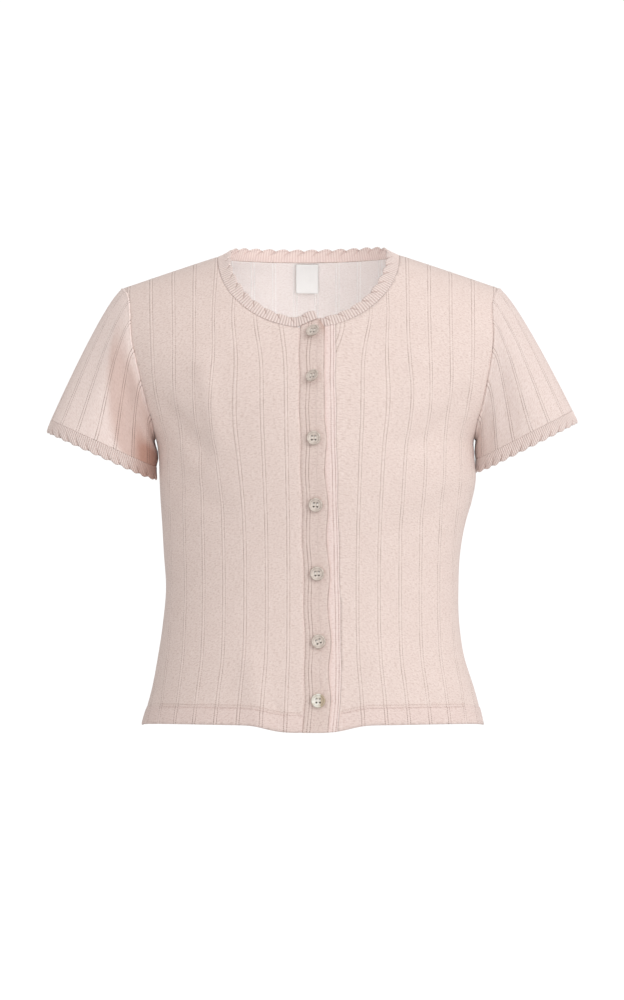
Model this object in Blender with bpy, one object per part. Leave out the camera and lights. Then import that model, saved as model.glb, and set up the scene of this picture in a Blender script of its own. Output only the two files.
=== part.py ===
"""Short sleeve cardigan in pointelle jersey, hollow and filled out as when it is worn.

The functions work in millimetres and the meshes are in metres. The front faces -Y, +X is the
wearer's left, and the origin is the middle of the neck, level with the inner ends of the shoulders.
A place on the body is a length s round it from the middle of its front or back, negative on the
wearer's right, and a height z.
"""
import math
from collections import namedtuple

import bmesh
import bpy
import numpy as np
from mathutils import Matrix, Vector

MM = 0.001
FRONT, BACK = -1, 1
RIGHT, LEFT = -1, 1

# Cloth
WALL = 1.6
HEM_WALL = 2.6
HEM_DEPTH = 18.7
TRIM_WALL = 1.8
BAND_WALL = 1.9
SEAM_GAP = 0.3

# Pointelle ribs, raised from the jersey
RIB_PITCH = 24.2
FRONT_FIRST_RIB = 26.4
FRONT_RIBS = 7
BACK_FIRST_RIB = 4.8
BACK_RIB_PITCH = 22.6
BACK_RIBS = range(-7, 8)
RIB_HALF_WIDTH = 3.5
RIB_RISE = 1.0

# Body: the ring of the filled-out cloth at each height
RINGS = (
    # height, right half width, left half width, front depth, back depth, draw-in of the ribs
    (25, 228, 222, 66, 80, 0.0),
    (-15, 230, 226, 70, 86, 0.0),
    (-61, 228, 227, 80, 92, 0.0),
    (-116, 208, 212, 98, 96, 0.0),
    (-155, 184.5, 190.5, 106, 95, 0.0),
    (-180, 168, 173.7, 108, 93, 0.01),
    (-192, 162, 168.3, 108.5, 92, 0.02),
    (-205, 159.8, 168.6, 108.5, 91, 0.03),
    (-233, 158.5, 170.2, 107, 88, 0.05),
    (-254, 157.5, 166.4, 104.5, 86, 0.065),
    (-275, 156, 160.2, 101.5, 84, 0.078),
    (-308, 153.9, 153.9, 98, 82, 0.09),
    (-345, 151.8, 152.2, 96, 84, 0.093),
    (-383, 155, 153, 97, 89, 0.09),
    (-416, 160.2, 158.1, 100, 95, 0.075),
    (-449, 166.4, 168.5, 103, 101, 0.02),
    (-487, 177, 178.5, 107, 106, -0.03),
)
DRAW_IN_REACH = 200

# Shoulders: the top line falls away from the neck, and the cloth rolls over it
SHOULDER_MIDDLE = -1.0
SHOULDER_TIP = 195.6
SHOULDER_PEAK = 21.6
SHOULDER_SLOPE = 0.3477
SHOULDER_EASE = 40
SHOULDER_ROUND = 70

# Neck seam
NECK_MIDDLE = -3.6
NECK_HALF_WIDTH = 94
FRONT_NECK_DROP = 79
BACK_NECK_DROP = 2
NECK_CORNER_EASE = 5.5
CORNER_SPACE = 3

# Armholes
UNDERARM = -190
ARMHOLE_DEPTH = 50
UNDERARM_TURN = 0.75
UNDERARM_TURN_START = 0.62

# Hem
FRONT_HEM = -481
BACK_HEM = -483
HEM_CORNER_DROP = 6
HEM_REACH = 222
BAND_DROP = 7
BAND_DROP_MIDDLE = -4.5
BAND_DROP_REACH = 46

# Rows of each column of a panel
HEM_ROWS = 2
LOWER_ROWS = 12
UPPER_ROWS = 10
CLOSED_ROW = 4
CORNER_REACH = 14

# Folds of the body: from (s, z) to (s, z), how wide and how high each is
FOLDS = (
    # face, s, z, s, z, width, rise
    (FRONT, -158, -160, -118, -205, 12, -2.6),
    (FRONT, -112, -120, -100, -190, 12, 2.4),
    (FRONT, -150, -232, -96, -262, 15, -1.6),
    (FRONT, 160, -152, 116, -196, 12, -2.4),
    (FRONT, 110, -110, 98, -180, 12, 2.0),
    (FRONT, 156, -250, 92, -285, 15, -1.8),
    (FRONT, -62, -420, -52, -482, 13, 2.2),
    (FRONT, 66, -410, 58, -482, 14, 2.0),
    (BACK, -146, -150, -108, -205, 13, -2.4),
    (BACK, 144, -150, 104, -210, 13, -2.6),
    (BACK, -126, -300, -40, -326, 15, -2.4),
    (BACK, 120, -292, 36, -312, 14, -2.2),
    (BACK, -70, -405, -84, -480, 15, 2.6),
    (BACK, 58, -398, 76, -480, 15, 2.4),
)

# Where the chest pulls the ribs aside
SWAYS = (
    # side, rib, height, sway, spread along s, spread along z
    (RIGHT, 90, -165, 7.5, 24, 45),
    (LEFT, 90, -150, 4.0, 26, 40),
)

# Sleeves, from the armhole to a flattened cuff ring
CUFF_HALF_DEPTH = 44
ARMHOLE_GAP = 0.5
SLEEVES = (
    # name, side, outer end x, z, underarm end x, z, sideways lean of the trim
    ("right", RIGHT, 271.4, -170.4, 163.2, -219.0, 0.30),
    ("left", LEFT, 270.9, -160.7, 170.8, -211.5, 0.38),
)
SLEEVE_STARTS = (
    # how the cloth leaves the armhole: outwards, forwards, upwards
    (0.827, 0, -0.562),  # at the shoulder
    (0.85, 0.30, -0.40),  # half way down
    (1, 0, -0.10),  # at the underarm
)
ARMHOLE_REACH = (42, 28)
CUFF_REACH = (46.5, 21.5)
TRIM_PLUMB_FROM = 0.85
SLEEVE_RIBS = 7
SLEEVE_RIB_SCALE = 0.91
SLEEVE_ROWS = (0, 0.05, 0.12, 0.22, 0.35, 0.50, 0.66, 0.83, 1)
CAP_EASE = 1.6
SLEEVE_FOLDS = (
    # side, half, place round the half, row from, row to, width, rise
    (RIGHT, FRONT, 0.66, 0.18, 1.0, 0.085, -4.0),
    (RIGHT, FRONT, 0.42, 0.15, 1.0, 0.10, 2.4),
    (RIGHT, BACK, 0.60, 0.15, 0.9, 0.10, -3.0),
    (LEFT, FRONT, 0.62, 0.15, 1.0, 0.085, -3.6),
    (LEFT, FRONT, 0.40, 0.20, 1.0, 0.10, 2.0),
    (LEFT, BACK, 0.56, 0.20, 0.9, 0.11, -3.2),
)

# Scalloped trims
TRIM_WIDTH = 12.8
SCALLOP_DEPTH = 2.0
SCALLOP_ROUND = 0.8
SCALLOP_STEPS = 4
NECK_SCALLOPS = 38
CUFF_SCALLOPS = 27
BACK_TRIM_LIFT = 0.6
BACK_TRIM_LIFT_FROM = -10
BACK_TRIM_LIFT_OVER = 55
FRONT_TRIM_TIP = 0.3
FRONT_TRIM_TIP_FROM = 60
FRONT_TRIM_TIP_OVER = 28
TIPPED_TRIM_GAP = 0.3
TRIM_SMOOTHING = 9

# Bands, measured from the line of the buttons
BAND_LINE = ((-60, 1.2), (-83, 1.2), (-129, 0.8), (-192, 1.9), (-258, 3.6), (-328, 5.2), (-397, 6.7),
             (-456, 6.3), (-500, 2.0))
TOP_BAND_SEAM = -13.4
TOP_BAND_EDGE = 11.7
TOP_BAND_WAVE = 1.3
UNDER_BAND_EDGE = -4.0
UNDER_BAND_SEAM = 22.3
UNDER_BAND_WAVE = -0.4
TOP_BAND_RISE = (0.0, 1.6)
UNDER_BAND_RISE = (-1.9, 0.0)
TRIM_END = 6.0
TRIM_END_LIFT = 8.0
TRIM_END_RISE = (-19, 6)
TRIM_END_FALL = (6, 13)

# Buttons
BUTTONS = (
    # height, lean about the slanting axis in degrees
    (-83.5, 30), (-129.4, 36), (-191.6, 9), (-258.5, 4), (-327.9, 5), (-396.6, 6), (-455.9, 4),
)
BUTTON_LEAN_AXIS = (-0.5, 0, -0.866)
BUTTON_RADIUS = 7.3
BUTTON_PROFILE = ((0, 0), (6.0, 0), (7.3, 0.9), (7.3, 1.7), (6.6, 2.5), (5.8, 2.5), (4.7, 1.7), (0, 1.5))
BUTTON_SIDES = 18
BUTTON_HOLE_RADIUS = 0.95
BUTTON_HOLE_PLACE = 1.9
BUTTON_CLEARANCE = 0.5

# Neck label
LABEL_MIDDLE = -5.3
LABEL_WIDTH = 24.4
LABEL_TOP = -2.0
LABEL_HEIGHT = 29.5
LABEL_WALL = 1.0
LABEL_CLEARANCE = 1.6

# Colours
JERSEY = (0.78, 0.64, 0.59)
TRIM = (0.76, 0.60, 0.55)
HORN = (0.42, 0.36, 0.30)
LABEL = (0.86, 0.85, 0.83)

Column = namedtuple("Column", "line rise kept")


# ---------------------------------------------------------------- curves and the bare body

def hermite(start, end, start_slope, end_slope, t):
    """Cubic from start to end with the slopes given at both."""
    return ((2 * t**3 - 3 * t**2 + 1) * start + (t**3 - 2 * t**2 + t) * start_slope
            + (3 * t**2 - 2 * t**3) * end + (t**3 - t**2) * end_slope)


def smooth_curve(keys, values):
    """Function through (key, value) pairs with rising keys, flat beyond its ends."""
    keys, values = np.array(keys, float), np.array(values, float)
    slopes = np.gradient(values, keys)

    def at(key):
        k = int(np.clip(np.searchsorted(keys, key) - 1, 0, len(keys) - 2))
        span = keys[k + 1] - keys[k]
        t = min(max((key - keys[k]) / span, 0.0), 1.0)
        return float(hermite(values[k], values[k + 1], slopes[k] * span, slopes[k + 1] * span, t))
    return at


def smooth_step(t):
    t = min(max(t, 0.0), 1.0)
    return t * t * (3 - 2 * t)


def unit(vector):
    return vector / np.linalg.norm(vector)


ring_columns = list(zip(*sorted(RINGS)))
half_width = {RIGHT: smooth_curve(ring_columns[0], ring_columns[1]),
              LEFT: smooth_curve(ring_columns[0], ring_columns[2])}
depth = {FRONT: smooth_curve(ring_columns[0], ring_columns[3]),
         BACK: smooth_curve(ring_columns[0], ring_columns[4])}
draw_in = smooth_curve(ring_columns[0], ring_columns[5])


def side_of(x):
    return LEFT if x >= 0 else RIGHT


def shoulder_height(x):
    """Height of the top of the shoulder, a line that rounds over towards the neck."""
    out = math.hypot(x - SHOULDER_MIDDLE, SHOULDER_EASE) - SHOULDER_EASE
    return SHOULDER_PEAK - SHOULDER_SLOPE * out


def shoulder_roll(x, z):
    """Share of the body's depth left at a height, as the cloth rolls over the shoulder."""
    below = min(max((shoulder_height(x) - z) / SHOULDER_ROUND, 0.0), 1.0)
    return math.sqrt(1 - (1 - below) ** 2)


def quarter_ring(width, ring_depth):
    """Angles from the middle of the ring to its side, and the lengths along it."""
    angles = np.linspace(0, math.pi / 2, 49)
    steps = np.hypot(np.diff(width * np.sin(angles)), np.diff(ring_depth * np.cos(angles)))
    return angles, np.concatenate(([0], np.cumsum(steps)))


def body_xy(face, s, z):
    """Point of the body at a length s round it, as (x, y)."""
    width, ring_depth = half_width[side_of(s)](z), depth[face](z)
    angles, lengths = quarter_ring(width, ring_depth)
    angle = np.interp(abs(s), lengths, angles)
    x = math.copysign(width * math.sin(angle), s)
    return x, face * ring_depth * math.cos(angle) * shoulder_roll(x, z)


def body_point(face, s, z):
    x, y = body_xy(face, s, z)
    return np.array((x, y, z))


def length_at(face, x, z):
    """Length s round the body at which it has the given x."""
    width = half_width[side_of(x)](z)
    angles, lengths = quarter_ring(width, depth[face](z))
    return math.copysign(np.interp(math.asin(min(abs(x) / width, 1.0)), angles, lengths), x)


def side_length(face, side, z):
    return quarter_ring(half_width[side](z), depth[face](z))[1][-1]


def body_normal(face, x, z):
    """Outward direction of the body at x and z, read a hair below so that it holds on the shoulder."""
    def excess(px, py, pz):
        width, reach = half_width[side_of(px)](pz), depth[face](pz) * shoulder_roll(px, pz)
        return (px / width) ** 2 + (py / reach) ** 2

    z = min(z, shoulder_height(x)) - 0.01
    width = half_width[side_of(x)](z)
    across = math.sqrt(max(1 - (x / width) ** 2, 0.0))
    place = np.array((x, face * depth[face](z) * shoulder_roll(x, z) * across, z))
    nudge = np.eye(3) * 0.002
    return unit(np.array([excess(*(place + d)) - excess(*(place - d)) for d in nudge]))


# ---------------------------------------------------------------- edges of the panels

def hem_height(face, s):
    corner = HEM_CORNER_DROP * (s / HEM_REACH) ** 4
    if face == BACK:
        return BACK_HEM - corner * 0.7
    return FRONT_HEM - corner - BAND_DROP * math.exp(-((s - BAND_DROP_MIDDLE) / BAND_DROP_REACH) ** 4)


def top_edge(face, x):
    """Height of a panel's top at x: the neck seam or the shoulder seam."""
    across = (x - NECK_MIDDLE) / NECK_HALF_WIDTH
    if abs(across) >= 1:
        return shoulder_height(x)
    corners = [shoulder_height(NECK_MIDDLE + side * NECK_HALF_WIDTH) for side in (RIGHT, LEFT)]
    level = np.interp(across, (-1, 1), corners)
    drop = FRONT_NECK_DROP if face == FRONT else BACK_NECK_DROP
    return level - drop * math.sqrt(1 - across**2)


def column_top(face, line):
    """Height at which a column meets the top edge, found by halving."""
    low, high = UNDERARM, SHOULDER_PEAK
    for _ in range(36):
        middle = (low + high) / 2
        if middle < top_edge(face, body_xy(face, line(middle), middle)[0]):
            low = middle
        else:
            high = middle
    return low


def lengths_along(points):
    steps = np.linalg.norm(np.diff(points, axis=0), axis=1)
    return np.concatenate(([0], np.cumsum(steps)))


def upper_lengths(face, line):
    """Heights of a column from the underarm to its top, and the lengths of cloth up to them."""
    top = column_top(face, line)
    heights = top - (top - UNDERARM) * np.linspace(1, 0, 80) ** 2
    return heights, lengths_along(np.array([body_point(face, line(z), z) for z in heights]))


def column_places(face, line):
    """Places (s, z) up a column: the hem, level rows to the underarm, then rows to its top.

    Each place has the direction of its wall, or None where that is square to the body.
    The upper rows are evenly spaced, but beside a corner of the neck they keep step with the
    full column at that corner and close up at the seam.
    """
    hem = hem_height(face, line(FRONT_HEM))
    lower = [hem] + list(np.linspace(hem + HEM_DEPTH, UNDERARM, LOWER_ROWS))
    heights, lengths = upper_lengths(face, line)
    side = side_of(line(0))
    corner = length_at(face, NECK_MIDDLE + side * (NECK_HALF_WIDTH + 1), 0)
    full = upper_lengths(face, rib_line(face, corner))[1][-1]
    rows = np.arange(1, UPPER_ROWS + 1)
    even = rows * lengths[-1] / UPPER_ROWS
    stepped = np.minimum(rows * full / UPPER_ROWS, lengths[-1] - (UPPER_ROWS - rows) * CLOSED_ROW)
    near = math.exp(-((line(0) - corner) / CORNER_REACH) ** 2)
    upper = np.interp(even + (stepped - even) * near, lengths, heights)
    return [(line(z), z, None) for z in lower + list(upper)]


def armhole_place(face, side, turn):
    """Place on the armhole seam, from turn 0 at the shoulder tip to pi at the underarm."""
    top = shoulder_height(SHOULDER_MIDDLE + side * SHOULDER_TIP)
    z = top + (UNDERARM - top) * (1 - math.cos(turn)) / 2
    target = ARMHOLE_DEPTH * math.sin(turn)
    low, high = 100.0, half_width[side](z)
    for _ in range(36):
        x = (low + high) / 2
        across = math.sqrt(max(1 - (x / half_width[side](z)) ** 2, 0.0))
        if depth[face](z) * shoulder_roll(side * x, z) * across > target:
            low = x
        else:
            high = x
    return side * low, z


def armhole_rows(face, side):
    """Evenly spaced points of the armhole seam from the underarm up, each with its wall's direction."""
    turns = np.linspace(math.pi, 0, 120)
    places = [armhole_place(face, side, turn) for turn in turns]
    points = np.array([body_point(face, length_at(face, x, z), z) for x, z in places])
    lengths = lengths_along(points)
    rows = []
    for turn in np.interp(np.linspace(0, lengths[-1], UPPER_ROWS + 1), lengths, turns):
        x, z = armhole_place(face, side, turn)
        low = smooth_step((turn / math.pi - UNDERARM_TURN_START) / (1 - UNDERARM_TURN_START))
        under = UNDERARM_TURN * low
        direction = unit(body_normal(face, x, z) * (1 - under) + np.array((0, 0, -under)))
        rows.append((length_at(face, x, z), z, direction))
    return rows


def rib_line(face, rib):
    """Line of a rib up the body: drawn in at the waist and swayed at the chest."""
    side = side_of(rib)

    def line(z):
        s = rib * (1 - draw_in(z) * (1 - (rib / DRAW_IN_REACH) ** 2))
        for sway_side, place, height, sway, spread, rows in SWAYS:
            if face == FRONT and side == sway_side:
                fade = math.exp(-((abs(rib) - place) / spread) ** 2 - ((z - height) / rows) ** 2)
                s += side * sway * fade
        return s
    return line


def fold_rise(face, s, z):
    """How far the folds move the cloth outwards at a place."""
    rise = 0.0
    for fold_face, s0, z0, s1, z1, width, height in FOLDS:
        if fold_face != face:
            continue
        run = np.array((s1 - s0, z1 - z0))
        along = np.dot((s - s0, z - z0), run) / np.dot(run, run)
        nearest = np.array((s0, z0)) + run * min(max(along, 0.0), 1.0)
        away = math.hypot(s - nearest[0], z - nearest[1])
        rise += height * math.exp(-(away / width) ** 2)
    return rise


# ---------------------------------------------------------------- meshes

def add_skin(bm, grid, closed):
    """Triangles over a grid of points, column by column, all with the same diagonal.

    Returns the grid of vertices.
    """
    verts = [[bm.verts.new(Vector(point) * MM) for point in column] for column in grid]
    for left, right in zip(verts, verts[1:] + verts[:1] if closed else verts[1:]):
        for j in range(len(left) - 1):
            bm.faces.new((left[j], right[j], right[j + 1]))
            bm.faces.new((left[j], right[j + 1], left[j + 1]))
    return verts


def add_rim(bm, outer, inner, kept):
    """Triangles from a row of outer vertices to the sparser inner row, whose places are kept."""
    i = j = 0
    while i < len(outer) - 1 or j < len(inner) - 1:
        if j == len(inner) - 1 or (i < len(outer) - 1 and i + 1 <= (kept[j] + kept[j + 1]) / 2):
            bm.faces.new((outer[i], outer[i + 1], inner[j]))
            i += 1
        else:
            bm.faces.new((outer[i], inner[j + 1], inner[j]))
            j += 1


def cloth_mesh(name, outer, inner, kept, closed=False):
    """One closed wall from its outer grid and a plain inner grid at the kept columns."""
    bm = bmesh.new()
    outer_verts = add_skin(bm, outer, closed)
    inner_verts = add_skin(bm, inner, closed)
    places = list(kept) + ([len(outer)] if closed else [])
    for row in (0, -1):
        ring = [column[row] for column in outer_verts]
        inside = [column[row] for column in inner_verts]
        if closed:
            ring, inside = ring + ring[:1], inside + inside[:1]
        add_rim(bm, ring, inside, places)
    if not closed:
        for outer_side, inner_side in ((outer_verts[0], inner_verts[0]), (outer_verts[-1], inner_verts[-1])):
            add_rim(bm, outer_side, inner_side, range(len(outer_side)))
    bmesh.ops.recalc_face_normals(bm, faces=bm.faces)
    mesh = bpy.data.meshes.new(name)
    bm.to_mesh(mesh)
    bm.free()
    return mesh


def material(name, color, roughness):
    made = bpy.data.materials.new(name)
    made.use_nodes = True
    shader = made.node_tree.nodes["Principled BSDF"]
    shader.inputs["Base Color"].default_value = (*color, 1)
    shader.inputs["Roughness"].default_value = roughness
    return made


def add_object(name, mesh, color, roughness=0.9):
    mesh.materials.clear()
    mesh.materials.append(material(name, color, roughness))
    mesh.shade_smooth()
    mesh.set_sharp_from_angle(angle=math.radians(40))
    made = bpy.data.objects.new(name, mesh)
    bpy.context.scene.collection.objects.link(made)
    return made


# ---------------------------------------------------------------- fronts and back

def rib_columns(face, ribs):
    """Three columns for each rib: its foot, its crest and its foot."""
    columns = []
    for rib in ribs:
        for step in (-RIB_HALF_WIDTH, 0, RIB_HALF_WIDTH):
            line = rib_line(face, rib + step)
            under_neck = face == FRONT and abs(line(0)) < NECK_HALF_WIDTH + RIB_HALF_WIDTH
            columns.append(Column(line, 0 if step else RIB_RISE, step == 0 or under_neck))
    return columns


def with_corners(face, columns, corners):
    """The columns with plain ones added near the ends of the neck seam, in order of s."""
    for corner in corners:
        s = length_at(face, corner, 0)
        if all(abs(column.line(0) - s) > CORNER_SPACE for column in columns):
            columns.append(Column(rib_line(face, s), 0, True))
    return sorted(columns, key=lambda column: column.line(0))


def edge_places(face, side):
    """Places and directions up a panel's side: the side seam, then the armhole seam."""
    hem = hem_height(face, side * HEM_REACH)
    lower = [hem] + list(np.linspace(hem + HEM_DEPTH, UNDERARM, LOWER_ROWS))[:-1]
    places = [(side * (side_length(face, side, z) - SEAM_GAP / 2), z, None) for z in lower]
    return places + armhole_rows(face, side)


def between_places(face, inside, outside):
    """Places half way from a column to the panel's side, with its top on the shoulder seam."""
    places = [((a[0] + b[0]) / 2, (a[1] + b[1]) / 2, None) for a, b in zip(inside, outside)]
    s = places[-1][0]
    places[-1] = (s, column_top(face, lambda z: s), None)
    return places


def cloth_points(face, places, rise, wall_rows):
    """Outer and inner points of a column of places, and the base points the seams follow."""
    outer, inner, base = [], [], []
    for (s, z, direction), wall in zip(places, wall_rows):
        point = body_point(face, s, z)
        normal = body_normal(face, point[0], z) if direction is None else direction
        fold = fold_rise(face, s, z)
        if abs(point[1]) < SEAM_GAP / 2:
            point[1] += face * SEAM_GAP / 2
        base.append((point + normal * fold, normal))
        outer.append(point + normal * (fold + rise))
        inner.append(point + normal * (fold - wall))
    return outer, inner, base


def wall_heights():
    """Wall of each row: two layers in the hem, one above it."""
    return [HEM_WALL] * HEM_ROWS + [WALL] * (LOWER_ROWS + UPPER_ROWS + 1 - HEM_ROWS)


def panel(name, face, columns, sides):
    """A panel of the body; returns its top edge, as points with directions, in order of s."""
    places = [column_places(face, column.line) for column in columns]
    rises = [column.rise for column in columns]
    kept = [column.kept for column in columns]
    if RIGHT in sides:
        edge = edge_places(face, RIGHT)
        places = [edge, between_places(face, places[0], edge)] + places
        rises, kept = [0, 0] + rises, [True, True] + kept
    if LEFT in sides:
        edge = edge_places(face, LEFT)
        places = places + [between_places(face, places[-1], edge), edge]
        rises, kept = rises + [0, 0], kept + [True, True]
    walls = wall_heights()
    built = [cloth_points(face, column, rise, walls) for column, rise in zip(places, rises)]
    chosen = [k for k, keep in enumerate(kept) if keep]
    outer = [column[0] for column in built]
    inner = [built[k][1] for k in chosen]
    add_object(name, cloth_mesh(name, outer, inner, chosen), JERSEY)
    return [column[2][-1] for column in built]


def band_line(z):
    heights, middles = zip(*sorted(BAND_LINE))
    return np.interp(z, heights, middles)


def button_wave(z):
    """1 level with each button and -1 half way between two."""
    heights = [button[0] for button in BUTTONS][::-1]
    return math.cos(2 * math.pi * np.interp(z, heights, range(len(heights))))


def top_band_seam(z):
    return band_line(z) + TOP_BAND_SEAM


def under_band_seam(z):
    return band_line(z) + UNDER_BAND_SEAM + UNDER_BAND_WAVE * button_wave(z)


def fronts_and_back():
    """The three panels; returns the parts of the neck seam that they give, right to left."""
    ribs = [FRONT_FIRST_RIB + RIB_PITCH * k for k in range(FRONT_RIBS)]
    corners = {side: NECK_MIDDLE + side * NECK_HALF_WIDTH for side in (RIGHT, LEFT)}
    near = {side: [corners[side], corners[side] - side * NECK_CORNER_EASE] for side in corners}

    right_edge = Column(lambda z: top_band_seam(z) - SEAM_GAP, 0, True)
    right_columns = rib_columns(FRONT, [-rib for rib in ribs]) + [right_edge]
    right_columns = with_corners(FRONT, right_columns, [corners[RIGHT] + 2 * NECK_CORNER_EASE])
    right = panel("front_right", FRONT, right_columns, (RIGHT,))

    left_edge = Column(lambda z: under_band_seam(z) + SEAM_GAP, 0, True)
    left_columns = rib_columns(FRONT, ribs[1:]) + [left_edge]
    left_columns = with_corners(FRONT, left_columns, near[LEFT])
    left = panel("front_left", FRONT, left_columns, (LEFT,))

    back_columns = rib_columns(BACK, [BACK_FIRST_RIB + BACK_RIB_PITCH * k for k in BACK_RIBS])
    back_columns = with_corners(BACK, back_columns, [corners[RIGHT], corners[LEFT]])
    back = panel("back", BACK, back_columns, (RIGHT, LEFT))

    def on_neck(row):
        reach = NECK_HALF_WIDTH + CORNER_SPACE / 2
        return [entry for entry in row if abs(entry[0][0] - NECK_MIDDLE) <= reach]

    return on_neck(right)[::-1] + on_neck(back) + on_neck(left)[::-1]


# ---------------------------------------------------------------- bands

def band(name, near, far, rise, lift):
    """A band from the line near to the line far, standing off the body by rise at each of them."""
    shares = (0, 0.3, 0.7, 1)
    outer, inner, top = [], [], []
    for share in shares:
        def line(z, share=share):
            return near(z) + (far(z) - near(z)) * share

        column_outer, column_inner = [], []
        places = column_places(FRONT, line)
        for row, (s, z, _) in enumerate(places):
            z += lift(s) * max(0, row - len(places) + 3) / 2
            point = body_point(FRONT, s, z)
            normal = body_normal(FRONT, point[0], z)
            stand = np.interp(share, (0, 1), rise) + fold_rise(FRONT, s, z)
            column_outer.append(point + normal * stand)
            column_inner.append(point + normal * (stand - BAND_WALL))
        outer.append(column_outer)
        inner.append(column_inner)
        top.append((column_outer[-1], normal))
    add_object(name, cloth_mesh(name, outer, inner, range(len(shares))), JERSEY)
    return top


def bands():
    """Both bands; returns the ends of the neck seam on the buttonhole band and the button band."""
    def share(s, limits):
        return smooth_step((s - limits[0]) / (limits[1] - limits[0]))

    def raised_corner(s):
        return TRIM_END_LIFT * share(s, TRIM_END_RISE) * (1 - share(s, TRIM_END_FALL))

    top = band("buttonhole_band", top_band_seam,
               lambda z: band_line(z) + TOP_BAND_EDGE + TOP_BAND_WAVE * button_wave(z),
               TOP_BAND_RISE, raised_corner)
    under = band("button_band", lambda z: band_line(z) + UNDER_BAND_EDGE, under_band_seam,
                 UNDER_BAND_RISE, lambda s: 0)
    return top, under


# ---------------------------------------------------------------- trims

def scallop(phase):
    """Edge of the trim: round lobes between sharp dips."""
    return SCALLOP_DEPTH * abs(math.sin(math.pi * phase)) ** SCALLOP_ROUND


def trim_mesh(name, stations, closed):
    """Trim from its stations: a seam point, the way across the trim and the way out of its wall."""
    outer, inner = [], []
    for number, (seam, across, out) in enumerate(stations):
        width = TRIM_WIDTH + scallop(number / SCALLOP_STEPS)
        start = seam + across * SEAM_GAP
        outer.append([start, start + across * width])
        inner.append([start - out * TRIM_WALL, start + across * width - out * TRIM_WALL])
    add_object(name, cloth_mesh(name, outer, inner, range(len(outer)), closed), TRIM)


def neck_trim(seam):
    """Trim along the neck seam, tipping inwards in front and standing up at the back."""
    points = np.array([point for point, _ in seam])
    normals = np.array([normal for _, normal in seam])
    lengths = lengths_along(points)

    def at(length, rows):
        return np.array([np.interp(length, lengths, rows[:, k]) for k in range(3)])

    stations = []
    for length in np.linspace(0, lengths[-1], NECK_SCALLOPS * SCALLOP_STEPS + 1):
        along = unit(at(length + TRIM_SMOOTHING, points) - at(length - TRIM_SMOOTHING, points))
        point, normal = at(length, points), at(length, normals)
        flat = unit(np.cross(along, normal))
        flat *= 1 if np.dot(flat, (NECK_MIDDLE - point[0], -point[1], 40)) > 0 else -1
        lift = BACK_TRIM_LIFT * smooth_step((point[1] - BACK_TRIM_LIFT_FROM) / BACK_TRIM_LIFT_OVER)
        tipped = smooth_step((-point[1] - FRONT_TRIM_TIP_FROM) / FRONT_TRIM_TIP_OVER)
        across = flat * (1 - lift) + np.array((0, FRONT_TRIM_TIP * tipped, lift))
        across = unit(across - along * np.dot(across, along))
        out = unit(np.cross(across, along))
        out *= 1 if np.dot(out, normal) > 0 else -1
        stations.append((point + across * TIPPED_TRIM_GAP * tipped, across, out))
    trim_mesh("neck_trim", stations, False)


# ---------------------------------------------------------------- sleeves

def sleeve_shape(side, outer_x, outer_z, inner_x, inner_z):
    """Function giving the sleeve's point at u round it and v down it, and its start directions.

    u runs from 0 at the fold over the shoulder, down the front to 1 at the underarm, and up the
    back to 2; v runs from 0 at the armhole to 1 at the cuff.
    """
    middle = np.array((side * (outer_x + inner_x) / 2, 0, (outer_z + inner_z) / 2))
    reach = np.array((side * (outer_x - inner_x) / 2, 0, (outer_z - inner_z) / 2))
    down = unit(np.array((side * reach[2], 0, -abs(reach[0]))))
    half_long = np.linalg.norm(reach)
    turns = np.linspace(0, math.pi, 97)
    steps = np.hypot(np.diff(half_long * np.cos(turns)), np.diff(CUFF_HALF_DEPTH * np.sin(turns)))
    shares = np.concatenate(([0], np.cumsum(steps))) / np.sum(steps)

    seams = {}
    for face in (FRONT, BACK):
        rows = armhole_rows(face, side)[::-1]
        points = np.array([body_point(face, s, z) for s, z, _ in rows])
        lengths = lengths_along(points)
        seams[face] = (lengths / lengths[-1], points, np.array([normal for _, _, normal in rows]))

    def half_of(u):
        u = u % 2
        return (FRONT, u) if u <= 1 else (BACK, 2 - u)

    def seam_at(u):
        face, q = half_of(u)
        shares_along, points, normals = seams[face]
        place = q**CAP_EASE
        point = np.array([np.interp(place, shares_along, points[:, k]) for k in range(3)])
        return point, unit(np.array([np.interp(place, shares_along, normals[:, k]) for k in range(3)]))

    def point_at(u, v):
        face, q = half_of(u)
        turn = math.pi * q
        shares_of_start = max(math.cos(turn), 0), math.sin(turn), max(-math.cos(turn), 0)
        leave = unit(np.dot(shares_of_start, np.array(SLEEVE_STARTS) * (side, face, 1)))
        ring_turn = np.interp(q, shares, turns)
        start = seam_at(u)[0] + leave * ARMHOLE_GAP
        end = middle + reach * math.cos(ring_turn)
        end = end + np.array((0, face * CUFF_HALF_DEPTH * math.sin(ring_turn), 0))
        first, last = (least + more * math.cos(turn) for least, more in (ARMHOLE_REACH, CUFF_REACH))
        hang = unit(down * (1 - shares_of_start[2]) + np.array((0, 0, -shares_of_start[2])))
        return hermite(start, end, leave * first, hang * last, v)

    return point_at, seam_at, middle


def sleeve_fold(side, u, v):
    rise = 0.0
    face, q = (FRONT, u) if u <= 1 else (BACK, 2 - u)
    for fold_side, half, place, start, end, width, height in SLEEVE_FOLDS:
        if fold_side == side and half == face:
            along = smooth_step((v - start) / 0.3) * (1 - 0.6 * smooth_step((v - end + 0.3) / 0.3))
            rise += height * along * math.exp(-((q - place) / width) ** 2)
    return rise


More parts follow.
